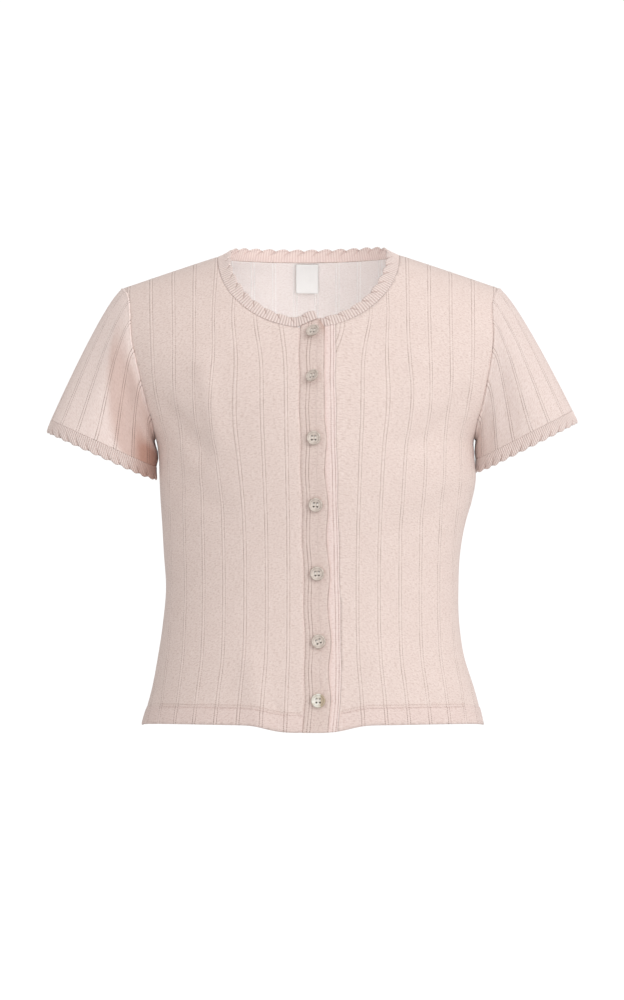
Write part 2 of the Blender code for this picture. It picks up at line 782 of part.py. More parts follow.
def sleeve(name, side, outer_x, outer_z, inner_x, inner_z, lean):
    """One sleeve with its cuff trim."""
    point_at, seam_at, middle = sleeve_shape(side, outer_x, outer_z, inner_x, inner_z)
    start_middle = seam_at(0)[0] / 2 + seam_at(1)[0] / 2

    def normal_at(u, v):
        if v == 0:
            return seam_at(u)[1]
        du = point_at(u + 0.01, v) - point_at(u - 0.01, v)
        dv = point_at(u, min(v + 0.01, 1)) - point_at(u, v - 0.01)
        normal = unit(np.cross(du, dv))
        centre = start_middle * (1 - v) + middle * v
        return normal if np.dot(normal, point_at(u, v) - centre) > 0 else -normal

    foot = RIB_HALF_WIDTH / (RIB_PITCH * SLEEVE_RIB_SCALE * (SLEEVE_RIBS + 0.5))
    ribs = [(k + 0.5) / (SLEEVE_RIBS + 0.5) for k in range(SLEEVE_RIBS)]
    ribs = ribs + [2 - rib for rib in reversed(ribs)]
    columns = [(rib + step, 0 if step else RIB_RISE) for rib in ribs for step in (-foot, 0, foot)]
    columns = sorted(columns + [(1, 0), (0, 0)])
    kept = [k for k, (u, rise) in enumerate(columns) if rise or u in (0, 1)]

    outer, inner = [], []
    for number, (u, rise) in enumerate(columns):
        column_outer, column_inner = [], []
        for v in SLEEVE_ROWS:
            point, normal, fold = point_at(u, v), normal_at(u, v), sleeve_fold(side, u, v)
            column_outer.append(point + normal * (fold + rise))
            column_inner.append(point + normal * (fold - WALL))
        outer.append(column_outer)
        if number in kept:
            inner.append(column_inner)
    add_object("sleeve_" + name, cloth_mesh("sleeve_" + name, outer, inner, kept, True), JERSEY)

    stations = []
    for number in range(CUFF_SCALLOPS * SCALLOP_STEPS):
        u = 2 * number / (CUFF_SCALLOPS * SCALLOP_STEPS)
        out = normal_at(u, 1)
        slant = lean * (1 - smooth_step((min(u, 2 - u) - TRIM_PLUMB_FROM) / (1 - TRIM_PLUMB_FROM)))
        across = np.array((side * slant, 0, -math.sqrt(1 - slant**2)))
        stations.append((point_at(u, 1) + out * sleeve_fold(side, u, 1), across, out))
    trim_mesh("cuff_trim_" + name, stations, True)


# ---------------------------------------------------------------- buttons and label

def button_mesh():
    """A dished round button with a raised rim and four holes."""
    bm = bmesh.new()
    profile = [bm.verts.new(Vector((r, 0, z)) * MM) for r, z in BUTTON_PROFILE]
    edges = [bm.edges.new(pair) for pair in zip(profile, profile[1:])]
    bmesh.ops.spin(bm, geom=profile + edges, axis=(0, 0, 1), cent=(0, 0, 0), steps=BUTTON_SIDES,
                   angle=2 * math.pi, use_merge=True)
    bmesh.ops.remove_doubles(bm, verts=bm.verts, dist=0.000001)
    bmesh.ops.recalc_face_normals(bm, faces=bm.faces)
    blank_mesh = bpy.data.meshes.new("button")
    bm.to_mesh(blank_mesh)
    bm.free()

    bm = bmesh.new()
    for x in (-1, 1):
        for y in (-1, 1):
            place = Matrix.Translation(Vector((x * BUTTON_HOLE_PLACE, y * BUTTON_HOLE_PLACE, 1.0)) * MM)
            bmesh.ops.create_cone(bm, cap_ends=True, segments=6, radius1=BUTTON_HOLE_RADIUS * MM,
                                  radius2=BUTTON_HOLE_RADIUS * MM, depth=8 * MM, matrix=place)
    drill_mesh = bpy.data.meshes.new("drill")
    bm.to_mesh(drill_mesh)
    bm.free()

    blank = bpy.data.objects.new("blank", blank_mesh)
    drill = bpy.data.objects.new("drill", drill_mesh)
    for made in (blank, drill):
        bpy.context.scene.collection.objects.link(made)
    cut = blank.modifiers.new("holes", "BOOLEAN")
    cut.operation = "DIFFERENCE"
    cut.solver = "EXACT"
    cut.object = drill
    bpy.context.view_layer.update()
    drilled = bpy.data.meshes.new_from_object(blank.evaluated_get(bpy.context.evaluated_depsgraph_get()))
    for made in (blank, drill):
        bpy.data.objects.remove(made)
    return drilled


def buttons():
    """Seven buttons down the buttonhole band; the top two lean where the band sags."""
    shared = button_mesh()
    for number, (z, lean) in enumerate(BUTTONS, 1):
        share = -TOP_BAND_SEAM / (TOP_BAND_EDGE - TOP_BAND_SEAM)
        stand = np.interp(share, (0, 1), TOP_BAND_RISE)
        s = float(band_line(z))
        base = body_point(FRONT, s, z)
        normal = body_normal(FRONT, base[0], z)
        clear = BUTTON_CLEARANCE + BUTTON_RADIUS * math.sin(math.radians(lean))
        face_on = Vector(normal).to_track_quat("Z", "Y").to_matrix().to_4x4()
        tilt = Matrix.Rotation(math.radians(lean), 4, Vector(BUTTON_LEAN_AXIS))
        made = add_object(f"button_{number}", shared.copy(), HORN, 0.35)
        spot = Vector(base + normal * (stand + fold_rise(FRONT, s, z) + clear)) * MM
        made.matrix_world = Matrix.Translation(spot) @ tilt @ face_on


def neck_label():
    """Bare label hanging from the back neck seam, against the inside of the back."""
    outer, inner = [], []
    for x in np.linspace(-0.5, 0.5, 4) * LABEL_WIDTH + LABEL_MIDDLE:
        column_outer, column_inner = [], []
        for z in np.linspace(LABEL_TOP - LABEL_HEIGHT, LABEL_TOP, 5):
            s = length_at(BACK, x, z)
            point, normal = body_point(BACK, s, z), body_normal(BACK, x, z)
            column_outer.append(point - normal * (WALL + LABEL_CLEARANCE))
            column_inner.append(point - normal * (WALL + LABEL_CLEARANCE + LABEL_WALL))
        outer.append(column_outer)
        inner.append(column_inner)
    add_object("neck_label", cloth_mesh("neck_label", outer, inner, range(4)), LABEL)


def build():
    for old in list(bpy.data.objects):
        bpy.data.objects.remove(old)
    neck_seam = fronts_and_back()
    top_band_end, under_band_end = bands()
    trim_start = [end for end in reversed(top_band_end) if end[0][0] <= TRIM_END]
    neck_trim(trim_start + neck_seam + list(reversed(under_band_end)))
    for row in SLEEVES:
        sleeve(*row)
    buttons()
    neck_label()


build()
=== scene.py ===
import math

import bmesh
import bpy
import numpy as np
from mathutils import Matrix, Vector, kdtree
from mathutils.geometry import delaunay_2d_cdt


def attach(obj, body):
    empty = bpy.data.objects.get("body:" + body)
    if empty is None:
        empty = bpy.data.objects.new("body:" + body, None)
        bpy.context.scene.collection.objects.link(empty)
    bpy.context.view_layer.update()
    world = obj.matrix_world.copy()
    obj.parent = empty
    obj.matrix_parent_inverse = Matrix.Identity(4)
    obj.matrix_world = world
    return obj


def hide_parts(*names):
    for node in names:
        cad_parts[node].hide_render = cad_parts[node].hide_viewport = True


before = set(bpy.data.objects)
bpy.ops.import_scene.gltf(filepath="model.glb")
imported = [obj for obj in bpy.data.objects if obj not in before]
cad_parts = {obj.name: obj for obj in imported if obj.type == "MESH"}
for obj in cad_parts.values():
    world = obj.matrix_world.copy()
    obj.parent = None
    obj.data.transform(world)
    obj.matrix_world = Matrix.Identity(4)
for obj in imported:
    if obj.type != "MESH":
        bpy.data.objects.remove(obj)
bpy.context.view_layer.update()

# ---------------------------------------------------------------- Fronts and back
# Three panels cut from one pointelle jersey, a fine cotton knit with pairs of eyelet rows down it,
# and sewn at the shoulders and sides. They keep the filled-out form that they have when worn.
# Working sizes are millimetres; the front faces -Y and +X is the wearer's left.

MM = 0.001
FRONT, BACK = -1, 1
RIGHT, LEFT = -1, 1

BODY_RINGS = np.array((
    # height, right half width, left half width, front depth, back depth, draw-in of the ribs
    (-487, 177, 178.5, 107, 106, -0.03),
    (-449, 166.4, 168.5, 103, 101, 0.02),
    (-416, 160.2, 158.1, 100, 95, 0.075),
    (-383, 155, 153, 97, 89, 0.09),
    (-345, 151.8, 152.2, 96, 84, 0.093),
    (-308, 153.9, 153.9, 98, 82, 0.09),
    (-275, 156, 160.2, 101.5, 84, 0.078),
    (-254, 157.5, 166.4, 104.5, 86, 0.065),
    (-233, 158.5, 170.2, 107, 88, 0.05),
    (-205, 159.8, 168.6, 108.5, 91, 0.03),
    (-192, 162, 168.3, 108.5, 92, 0.02),
    (-180, 168, 173.7, 108, 93, 0.01),
    (-155, 184.5, 190.5, 106, 95, 0.0),
    (-116, 208, 212, 98, 96, 0.0),
    (-61, 228, 227, 80, 92, 0.0),
    (-15, 230, 226, 70, 86, 0.0),
    (25, 228, 222, 66, 80, 0.0),
))
RIB_PITCH = 24.2
FIRST_RIB = {FRONT: 26.4, BACK: 4.8}
BACK_PITCH = 22.6
EYELET_OFFSET = 1.6
EYELET_PITCH = 2.1
SEAM_GAP = 0.3
SHOULDER_MIDDLE, SHOULDER_TIP = -1.0, 195.6
SHOULDER_PEAK, SHOULDER_SLOPE, SHOULDER_EASE, SHOULDER_ROUND = 21.6, 0.3477, 40, 70
SHOULDER_CLOTH = 126
NECK_MIDDLE, NECK_HALF_WIDTH = -3.6, 94
NECK_DROP = {FRONT: 79, BACK: 2}
UNDERARM, ARMHOLE_DEPTH = -190, 50
HEM_LEVEL, HEM_CORNER_DROP = {FRONT: -481, BACK: -483}, {FRONT: 6, BACK: 4.2}
HEM_LOWEST, HEM_REACH = -488, 222
BAND_DROP, BAND_DROP_MIDDLE, BAND_DROP_REACH = 7, -4.5, 46
HEM_DEPTH, HEM_RISE, STITCH_HEIGHT = 18.7, 0.55, -465.0
JERSEY_WALL = 1.1


def hermite(start, end, start_slope, end_slope, t):
    return ((2 * t**3 - 3 * t**2 + 1) * start + (t**3 - 2 * t**2 + t) * start_slope
            + (3 * t**2 - 2 * t**3) * end + (t**3 - t**2) * end_slope)


def smooth_curve(keys, values):
    """Function on arrays through (key, value) pairs with rising keys, flat beyond its ends."""
    keys, values = np.array(keys, float), np.array(values, float)
    slopes = np.gradient(values, keys)

    def at(key):
        key = np.asarray(key, float)
        k = np.clip(np.searchsorted(keys, key) - 1, 0, len(keys) - 2)
        span = keys[k + 1] - keys[k]
        t = np.clip((key - keys[k]) / span, 0, 1)
        return hermite(values[k], values[k + 1], slopes[k] * span, slopes[k + 1] * span, t)
    return at


def smooth_step(t):
    t = np.clip(t, 0, 1)
    return t * t * (3 - 2 * t)


def bumps(distance, rows):
    """Height of smooth humps and dips, each row as (rise, middle, width)."""
    return sum(rise * np.exp(-((distance - middle) / width) ** 2) for rise, middle, width in rows)


def unit(vectors):
    return vectors / np.linalg.norm(vectors, axis=-1, keepdims=True)


def running_lengths(points):
    """Length of the line through the points as far as each of them."""
    return np.concatenate(([0], np.cumsum(np.linalg.norm(np.diff(points, axis=0), axis=1))))


ring_right, ring_left, ring_front, ring_back, draw_in = (
    smooth_curve(BODY_RINGS[:, 0], BODY_RINGS[:, k]) for k in range(1, 6))


def half_width(x, z):
    return np.where(np.asarray(x) < 0, ring_right(z), ring_left(z))


def depth(face, z):
    return ring_front(z) if face == FRONT else ring_back(z)


def shoulder_height(x):
    out = np.hypot(x - SHOULDER_MIDDLE, SHOULDER_EASE) - SHOULDER_EASE
    return SHOULDER_PEAK - SHOULDER_SLOPE * out


def ring_table(width, ring_depth):
    angles = np.linspace(0, math.pi / 2, 49)
    across, out = width[:, None] * np.sin(angles), ring_depth[:, None] * np.cos(angles)
    steps = np.hypot(np.diff(across), np.diff(out))
    return angles, np.concatenate((np.zeros((len(width), 1)), np.cumsum(steps, axis=1)), axis=1)


def ring_angle(width, ring_depth, s):
    """Angle from the middle of the ring that a length s round it reaches."""
    angles, lengths = ring_table(width, ring_depth)
    s = np.minimum(np.abs(s), lengths[:, -1])
    rows = np.arange(len(s))
    k = np.clip((lengths <= s[:, None]).sum(axis=1) - 1, 0, len(angles) - 2)
    share = (s - lengths[rows, k]) / (lengths[rows, k + 1] - lengths[rows, k])
    return angles[k] + share * (angles[1] - angles[0])


def length_at(face, x, z):
    """Length round the body at which it has the given x."""
    x, z = np.atleast_1d(x).astype(float), np.atleast_1d(z).astype(float)
    width = half_width(x, z)
    angles, lengths = ring_table(width, depth(face, z))
    angle = np.arcsin(np.minimum(np.abs(x) / width, 1))
    k = np.clip((angle / (angles[1] - angles[0])).astype(int), 0, len(angles) - 2)
    rows = np.arange(len(x))
    share = angle / (angles[1] - angles[0]) - k
    return np.copysign(lengths[rows, k] + share * (lengths[rows, k + 1] - lengths[rows, k]), x)


def side_length(face, side, z):
    width = half_width(np.full(len(z), side), z)
    return ring_table(width, depth(face, z))[1][:, -1]


DRAW_IN_REACH, BAND_REACH, SWAY_EASE = 200, 11, 16
CHEST_SWAYS = (
    # side, rib, height, sway, spread along s, spread along z
    (RIGHT, 90, -170, 7.5, 24, 60),
    (LEFT, 90, -150, 4.0, 26, 40),
    (RIGHT, 50, -64, 7.5, 48, 36),
    (LEFT, 46, -60, 9.5, 26, 36),
    (RIGHT, 155, -75, -5.0, 45, 75),
    (LEFT, 155, -60, -4.5, 50, 70),
)


def drawn(face, r, z):
    """Length s round the body of the wale that lies at r on the uncut cloth."""
    s = r * (1 - draw_in(z) * (1 - (r / DRAW_IN_REACH) ** 2))
    if face == FRONT:
        off_band = smooth_step((np.abs(r) - BAND_REACH) / SWAY_EASE)
        for side, place, height, sway, spread, rows in CHEST_SWAYS:
            fade = np.exp(-((np.abs(r) - place) / spread) ** 2 - ((z - height) / rows) ** 2)
            s = s + np.where(np.sign(r) == side, side * sway * fade * off_band, 0)
    return s


def undrawn(face, s, z):
    r = np.array(s, float)
    for _ in range(12):
        r = r + s - drawn(face, r, z)
    return r


def cloth_down(x, z):
    """Length t of cloth from the shoulder line down to a height, negative."""
    below = (shoulder_height(x) - z) / SHOULDER_ROUND
    turn = np.arccos(np.clip(1 - below, 0, 1))
    rolled, hanging = SHOULDER_CLOTH * turn * 2 / math.pi, SHOULDER_CLOTH + SHOULDER_ROUND * (below - 1)
    return -np.where(below < 1, rolled, hanging)


def on_body(face, r, t):
    """Points of the body, and their s and z, at wales r and lengths t below the shoulder line."""
    turn = np.clip(-t / SHOULDER_CLOTH, 0, 1) * math.pi / 2
    drop = SHOULDER_ROUND * (1 - np.cos(turn)) + np.maximum(-t - SHOULDER_CLOTH, 0)
    x = r * 0.9
    for _ in range(6):
        z = shoulder_height(x) - drop
        s = drawn(face, r, z)
        width, ring_depth = half_width(s, z), depth(face, z)
        angle = ring_angle(width, ring_depth, s)
        x = np.copysign(width * np.sin(angle), s)
    y = face * ring_depth * np.cos(angle) * np.sin(turn)
    return np.stack((x, y, z), axis=1), s, z


def body_normals(face, r, t, step=1.5):
    """Outward directions of the body, from the cloth just beside each place."""
    low = np.minimum(t + step, 0)
    across = on_body(face, r + step, t)[0] - on_body(face, r - step, t)[0]
    down = on_body(face, r, low)[0] - on_body(face, r, t - step)[0]
    normals = np.cross(across, down)
    return unit(normals) * (1 if face == FRONT else -1)


def panel_places(face, s, z):
    """Places (r, t) on the uncut cloth of points at s round the body and at height z."""
    width = half_width(s, z)
    x = np.copysign(width * np.sin(ring_angle(width, depth(face, z), s)), s)
    return np.stack((undrawn(face, s, z), np.minimum(cloth_down(x, z), 0)), axis=1)


def body_surface(face, s, z):
    """Points of the body at s round it and at height z, and its outward directions there."""
    r, t = panel_places(face, s, z).T
    return on_body(face, r, t)[0], body_normals(face, r, t)


def armhole_place(face, side, turn):
    """x and z on the armhole seam, from turn 0 at the shoulder tip to pi at the underarm."""
    top = shoulder_height(SHOULDER_MIDDLE + side * SHOULDER_TIP)
    z = top + (UNDERARM - top) * (1 - np.cos(turn)) / 2
    target = ARMHOLE_DEPTH * np.sin(turn)
    width = half_width(np.full(len(z), side), z)
    low, high = np.full(len(z), 100.0), width.copy()
    for _ in range(36):
        x = (low + high) / 2
        across = np.sqrt(np.maximum(1 - (x / width) ** 2, 0))
        below = np.clip((shoulder_height(side * x) - z) / SHOULDER_ROUND, 0, 1)
        further = depth(face, z) * np.sqrt(1 - (1 - below) ** 2) * across > target
        low, high = np.where(further, x, low), np.where(further, high, x)
    return side * low, z


BAND_LINE = np.array(((-500, 2.0), (-456, 6.3), (-397, 6.7), (-328, 5.2), (-258, 3.6), (-192, 1.9),
                      (-129, 0.8), (-83, 1.2), (-60, 1.2)))
BUTTON_HEIGHTS = (-455.9, -396.6, -327.9, -258.5, -191.6, -129.4, -83.5)
TOP_BAND_SEAM, TOP_SEAM_WAVE, UNDER_BAND_SEAM, UNDER_SEAM_WAVE = -13.4, 0.6, 22.3, -0.4
TRIM_END_LIFT, TRIM_END_RISE, TRIM_END_FALL = 8.0, (-19, 6), (6, 13)


def band_line(z):
    return np.interp(z, BAND_LINE[:, 0], BAND_LINE[:, 1])


def button_wave(z):
    """1 level with each button and -1 half way between two."""
    return np.cos(2 * math.pi * np.interp(z, BUTTON_HEIGHTS, range(len(BUTTON_HEIGHTS))))


def top_band_seam(z):
    return band_line(z) + TOP_BAND_SEAM + TOP_SEAM_WAVE * button_wave(z)


def under_band_seam(z):
    return band_line(z) + UNDER_BAND_SEAM + UNDER_SEAM_WAVE * button_wave(z)


def raised_corner(s):
    """How far the buttonhole band and the trim's end stand above the neck line."""
    risen, fallen = (smooth_step((s - start) / (end - start))
                     for start, end in (TRIM_END_RISE, TRIM_END_FALL))
    return TRIM_END_LIFT * risen * (1 - fallen)


def hem_height(face, s):
    height = HEM_LEVEL[face] - HEM_CORNER_DROP[face] * (s / HEM_REACH) ** 4
    if face == FRONT:
        height = height - BAND_DROP * np.exp(-((s - BAND_DROP_MIDDLE) / BAND_DROP_REACH) ** 4)
    return height


def neck_height(face, x):
    across = (x - NECK_MIDDLE) / NECK_HALF_WIDTH
    corners = [float(shoulder_height(NECK_MIDDLE + side * NECK_HALF_WIDTH)) for side in (RIGHT, LEFT)]
    return np.interp(across, (-1, 1), corners) - NECK_DROP[face] * np.sqrt(np.maximum(1 - across**2, 0))


def even_points(points, spacing):
    """The line through the points again, at even spacing, ends kept."""
    points = np.asarray(points, float)
    lengths = running_lengths(points)
    count = max(2, int(round(lengths[-1] / spacing)) + 1)
    places = np.linspace(0, lengths[-1], count)
    return np.stack([np.interp(places, lengths, points[:, k]) for k in range(points.shape[1])], axis=1)


def panel_edges(face, sides):
    """Edges of a panel as (name, places (r, t)), in turn from the hem and counter-clockwise."""
    edges = []

    def add(name, s, z):
        edges.append((name, panel_places(face, s, z)))

    def side_edge(side):
        z = np.linspace(hem_height(face, side * HEM_REACH), UNDERARM, 120)
        return side * (side_length(face, side, z) - SEAM_GAP / 2), z

    def armhole_edge(side):
        x, z = armhole_place(face, side, np.linspace(math.pi, 0, 160))
        return length_at(face, x, z), z

    def shoulder_edge(side):
        x = np.linspace(SHOULDER_MIDDLE + side * SHOULDER_TIP, NECK_MIDDLE + side * NECK_HALF_WIDTH, 60)
        z = shoulder_height(x)
        return length_at(face, x, z), z

    def neck_edge(start, end):
        turn = np.linspace(start, end, 200)
        x = NECK_MIDDLE + NECK_HALF_WIDTH * np.cos(turn)
        z = neck_height(face, x)
        return length_at(face, x, z), z

    def hem_edge(start, end):
        s = np.linspace(start, end, 160)
        return s, hem_height(face, s)

    def reach(side):
        return side_edge(side)[0][0]

    def turn_at(x):
        return math.acos(np.clip((x - NECK_MIDDLE) / NECK_HALF_WIDTH, -1, 1))

    def band_edge(seam, gap, top):
        z = np.linspace(top, HEM_LOWEST, 1600)
        s = seam(z) + gap
        keep = z >= hem_height(face, s)
        return s[keep], z[keep]

    if face == BACK:
        add("hem", *hem_edge(reach(RIGHT), reach(LEFT)))
        add("side", *side_edge(LEFT))
        add("armhole", *armhole_edge(LEFT))
        add("shoulder", *shoulder_edge(LEFT))
        add("neck", *neck_edge(0, math.pi))
        add("shoulder", *[values[::-1] for values in shoulder_edge(RIGHT)])
        add("armhole", *[values[::-1] for values in armhole_edge(RIGHT)])
        add("side", *[values[::-1] for values in side_edge(RIGHT)])
    elif sides == RIGHT:
        end = float(top_band_seam(-85)) - SEAM_GAP
        top = neck_height(FRONT, np.array([end]))[0]
        s, z = band_edge(top_band_seam, -SEAM_GAP, top)
        add("hem", *hem_edge(reach(RIGHT), s[-1]))
        add("band", s[::-1], z[::-1])
        add("neck", *neck_edge(turn_at(s[0]), math.pi))
        add("shoulder", *[values[::-1] for values in shoulder_edge(RIGHT)])
        add("armhole", *[values[::-1] for values in armhole_edge(RIGHT)])
        add("side", *[values[::-1] for values in side_edge(RIGHT)])
    else:
        start = float(under_band_seam(-85)) + SEAM_GAP
        top = neck_height(FRONT, np.array([start]))[0]
        s, z = band_edge(under_band_seam, SEAM_GAP, top)
        add("hem", *hem_edge(s[-1], reach(LEFT)))
        add("side", *side_edge(LEFT))
        add("armhole", *armhole_edge(LEFT))
        add("shoulder", *shoulder_edge(LEFT))
        add("neck", *neck_edge(0, turn_at(s[0])))
        add("band", s, z)
    return edges


def inside_outline(points, outline):
    """Which points lie inside a closed outline."""
    inside = np.zeros(len(points), bool)
    x, y = points[:, 0], points[:, 1]
    for (x0, y0), (x1, y1) in zip(outline, np.roll(outline, -1, axis=0)):
        if y0 != y1:
            crosses = (y0 > y) != (y1 > y)
            inside ^= crosses & (x < (x1 - x0) * (y - y0) / (y1 - y0) + x0)
    return inside


def distances(places, line):
    """Distance from each place on the cloth to the nearest point of a line."""
    tree = kdtree.KDTree(len(line))
    for k, (x, y) in enumerate(line):
        tree.insert((x, y, 0), k)
    tree.balance()
    return np.array([tree.find((x, y, 0))[2] for x, y in places])


# Folds of the body: troughs and ridges from (s, z) to (s, z), how wide and how high each is
BODY_FOLDS = (
    # face, s, z, s, z, width, rise
    (FRONT, -158, -160, -118, -205, 12, -2.6),
    (FRONT, -112, -120, -100, -190, 12, 2.4),
    (FRONT, -150, -232, -96, -262, 15, -1.6),
    (FRONT, 160, -152, 116, -196, 12, -2.4),
    (FRONT, 110, -110, 98, -180, 12, 2.0),
    (FRONT, 156, -250, 92, -285, 15, -1.8),
    (FRONT, -62, -420, -52, -482, 13, 2.2),
    (FRONT, 66, -410, 58, -482, 14, 2.0),
    (FRONT, -37, -460, -33, -467, 2.4, -0.9),
    (FRONT, -19, -464, -15, -471, 2.4, -0.9),
    (BACK, -146, -150, -108, -205, 13, -2.4),
    (BACK, 144, -150, 104, -210, 13, -2.6),
    (BACK, -126, -300, -40, -326, 15, -2.4),
    (BACK, 120, -292, 36, -312, 14, -2.2),
    (BACK, -70, -405, -84, -480, 15, 2.6),
    (BACK, 58, -398, 76, -480, 15, 2.4),
)


def fold_rise(face, s, z):
    rise = np.zeros(len(s))
    for fold_face, s0, z0, s1, z1, width, height in BODY_FOLDS:
        if fold_face == face:
            run = np.array((s1 - s0, z1 - z0), float)
            along = np.clip(((s - s0) * run[0] + (z - z0) * run[1]) / run.dot(run), 0, 1)
            away = np.hypot(s - s0 - run[0] * along, z - z0 - run[1] * along)
            rise += height * np.exp(-(away / width) ** 2)
    return rise


# The ridge in the middle of a rib, the groove of each eyelet row, and the low swell beyond it
RIB_FORM = ((0.22, 0, 1.1), (-0.16, EYELET_OFFSET, 0.5), (0.05, 2.9, 0.9))
# The groove of the hem's stitches, and its rounded lower edge
HEM_FORM = ((-0.35, HEM_DEPTH, 0.7), (-0.5, 0, 1.2))


def rib_phase(face, r):
    """Position among the ribs: a whole number on each rib."""
    if face == FRONT:
        return (np.abs(r) - FIRST_RIB[FRONT]) / RIB_PITCH
    return (r - FIRST_RIB[BACK]) / BACK_PITCH


def rib_rise(phase):
    """Height of the knit on and beside a rib."""
    return bumps(np.abs(phase - np.round(phase)) * RIB_PITCH, RIB_FORM)


def surface_rise(face, s, z, phase):
    """Height of folds, ribs and the doubled hem over the bare body."""
    above_hem = z - hem_height(face, s)
    doubled = 1 - smooth_step((above_hem - HEM_DEPTH + 1.2) / 1.6)
    return fold_rise(face, s, z) + rib_rise(phase) + HEM_RISE * doubled + bumps(above_hem, HEM_FORM)


def add_object(name, data):
    made = bpy.data.objects.new(name, data)
    bpy.context.scene.collection.objects.link(made)
    return made


def make_mesh(name, points, faces, uvs, materials):
    """Mesh in metres from points in millimetres, with a UV map of rib phase and length."""
    mesh = bpy.data.meshes.new(name)
    mesh.from_pydata((np.asarray(points) * MM).tolist(), [], faces)
    layer = mesh.uv_layers.new(name="Cloth")
    loops = np.empty(len(mesh.loops), int)
    mesh.loops.foreach_get("vertex_index", loops)
    layer.data.foreach_set("uv", np.asarray(uvs)[loops].ravel().astype(np.float32))
    for material in materials:
        mesh.materials.append(material)
    mesh.shade_smooth()
    mesh.update()
    return add_object(name, mesh)


def add_wall(piece, wall, inner_slot=0):
    solid = piece.modifiers.new("wall", "SOLIDIFY")
    solid.thickness = wall * MM
    solid.offset = -1
    solid.use_even_offset = False
    solid.material_offset = inner_slot


def stand_for(piece, node):
    """Put a piece in the place of a node of the solids."""
    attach(piece, "root")
    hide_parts(node)


# The mesh of a panel is closest on the ribs, the outline and the hem's stitches
RIB_STEPS = (-12.1, -8.6, -5.8, -3.9, -2.9, -2.2, -1.6, -1.0, -0.5, 0, 0.5, 1.0, 1.6, 2.2, 2.9, 3.9, 5.8, 8.6)
ROW_STEP = {FRONT: 3.0, BACK: 3.5}
OUTLINE_STEP, STITCH_STEP, FINE_STEP, SEAM_STEP, LINE_SPACE = 2.6, 2.4, 0.8, 1.2, 0.9
SEAM_DIPS = (
    # seam, dip of the right front, of the left front and of the back, reach of the dip
    ("armhole", -0.2, -0.2, -0.2, 1.4),
    ("shoulder", -0.5, -0.5, -0.5, 1.6),
    ("side", -0.8, -0.8, -0.8, 1.8),
    ("neck", -0.8, -0.3, 0.0, 1.6),
    ("band", -0.6, -0.15, 0.0, 1.2),
)
FIRST_RIB_SHIFT, SHIFT_FROM, SHIFT_OVER = 0.2, -80, 35


def panel_columns(face, low, high):
    first, pitch = FIRST_RIB[face], (RIB_PITCH if face == FRONT else BACK_PITCH)
    wales = []
    for k in range(-12, 13):
        for step in RIB_STEPS:
            wale = first + k * pitch + step * pitch / RIB_PITCH
            if face == BACK:
                wales.append(wale)
            elif wale > 8:
                wales += [wale, -wale]
    wales = np.array(sorted(wales))
    return wales[(wales > low) & (wales < high)]


def panel(name, face, sides, materials):
    edges = panel_edges(face, sides)
    outline = np.vstack([even_points(places, OUTLINE_STEP)[:-1] for kind, places in edges])
    wales = panel_columns(face, outline[:, 0].min(), outline[:, 0].max())
    rows = np.arange(outline[:, 1].min(), 0, ROW_STEP[face])
    grid = np.stack(np.meshgrid(wales, rows), axis=-1).reshape(-1, 2)
    grid = grid[inside_outline(grid, outline)]
    hem = np.vstack([places for kind, places in edges if kind == "hem"])
    hem_s = np.linspace(hem[0, 0], hem[-1, 0], int(abs(hem[-1, 0] - hem[0, 0]) / STITCH_STEP))[2:-2]
    hem_s = drawn(face, hem_s, np.full(len(hem_s), STITCH_HEIGHT))
    stitch_line = panel_places(face, hem_s, hem_height(face, hem_s) + HEM_DEPTH)
    stitch_line = stitch_line[inside_outline(stitch_line, outline)]
    closed_outline = np.vstack((outline, outline[:1]))
    lines = np.vstack([even_points(line, FINE_STEP) for line in (closed_outline, stitch_line)])
    places = np.vstack((outline, stitch_line, grid[distances(grid, lines) > LINE_SPACE]))
    border = [(k, (k + 1) % len(outline)) for k in range(len(outline))]
    border += [(len(outline) + k, len(outline) + k + 1) for k in range(len(stitch_line) - 1)]
    result = delaunay_2d_cdt([Vector(place) for place in places], border, [], 1, 1e-5)
    places = np.array([tuple(vert) for vert in result[0]])
    faces = [tuple(f) if face == FRONT else tuple(reversed(f)) for f in result[2]]

    r, t = places[:, 0], np.minimum(places[:, 1], 0)
    points, s, z = on_body(face, r, t)
    normals = body_normals(face, r, t)
    phase = rib_phase(face, r)
    if sides == LEFT:
        # the first rib runs off under the band above the second button
        shift = FIRST_RIB_SHIFT * smooth_step((SHIFT_FROM - z) / SHIFT_OVER)
        phase = phase + shift * np.maximum(1 - 2 * phase, 0)
    rise = surface_rise(face, s, z, phase)
    for kind, *dips, reach in SEAM_DIPS:
        seam = [even_points(places_of, SEAM_STEP) for edge, places_of in edges if edge == kind]
        if seam:
            dip = dips[(RIGHT, LEFT, 0).index(sides)]
            rise += bumps(distances(np.stack((r, t), axis=1), np.vstack(seam)), ((dip, 0, reach),))
    uvs = np.stack((phase, t / 100), axis=1)
    piece = make_mesh(name, points + normals * rise[:, None], faces, uvs, materials)
    above_hem = (z - hem_height(face, s))[np.array(faces)].mean(axis=1)
    piece.data.polygons.foreach_set("material_index", np.where(above_hem < HEM_DEPTH, 2, 0))
    add_wall(piece, JERSEY_WALL, 1)
    return piece


# The jersey's surface, shared by every cut piece: melange flecks, the fine knit and the eyelet rows

def new_group(name, inputs, outputs):
    """Empty shader node group with float or colour sockets and their start values."""
    group = bpy.data.node_groups.new(name, "ShaderNodeTree")
    for label, value in inputs:
        kind = "NodeSocketColor" if isinstance(value, tuple) else "NodeSocketFloat"
        socket = group.interface.new_socket(label, in_out="INPUT", socket_type=kind)
        socket.default_value = (*value, 1) if isinstance(value, tuple) else value
    for label, kind in outputs:
        group.interface.new_socket(label, in_out="OUTPUT", socket_type=kind)
    return group, group.nodes.new("NodeGroupInput"), group.nodes.new("NodeGroupOutput")


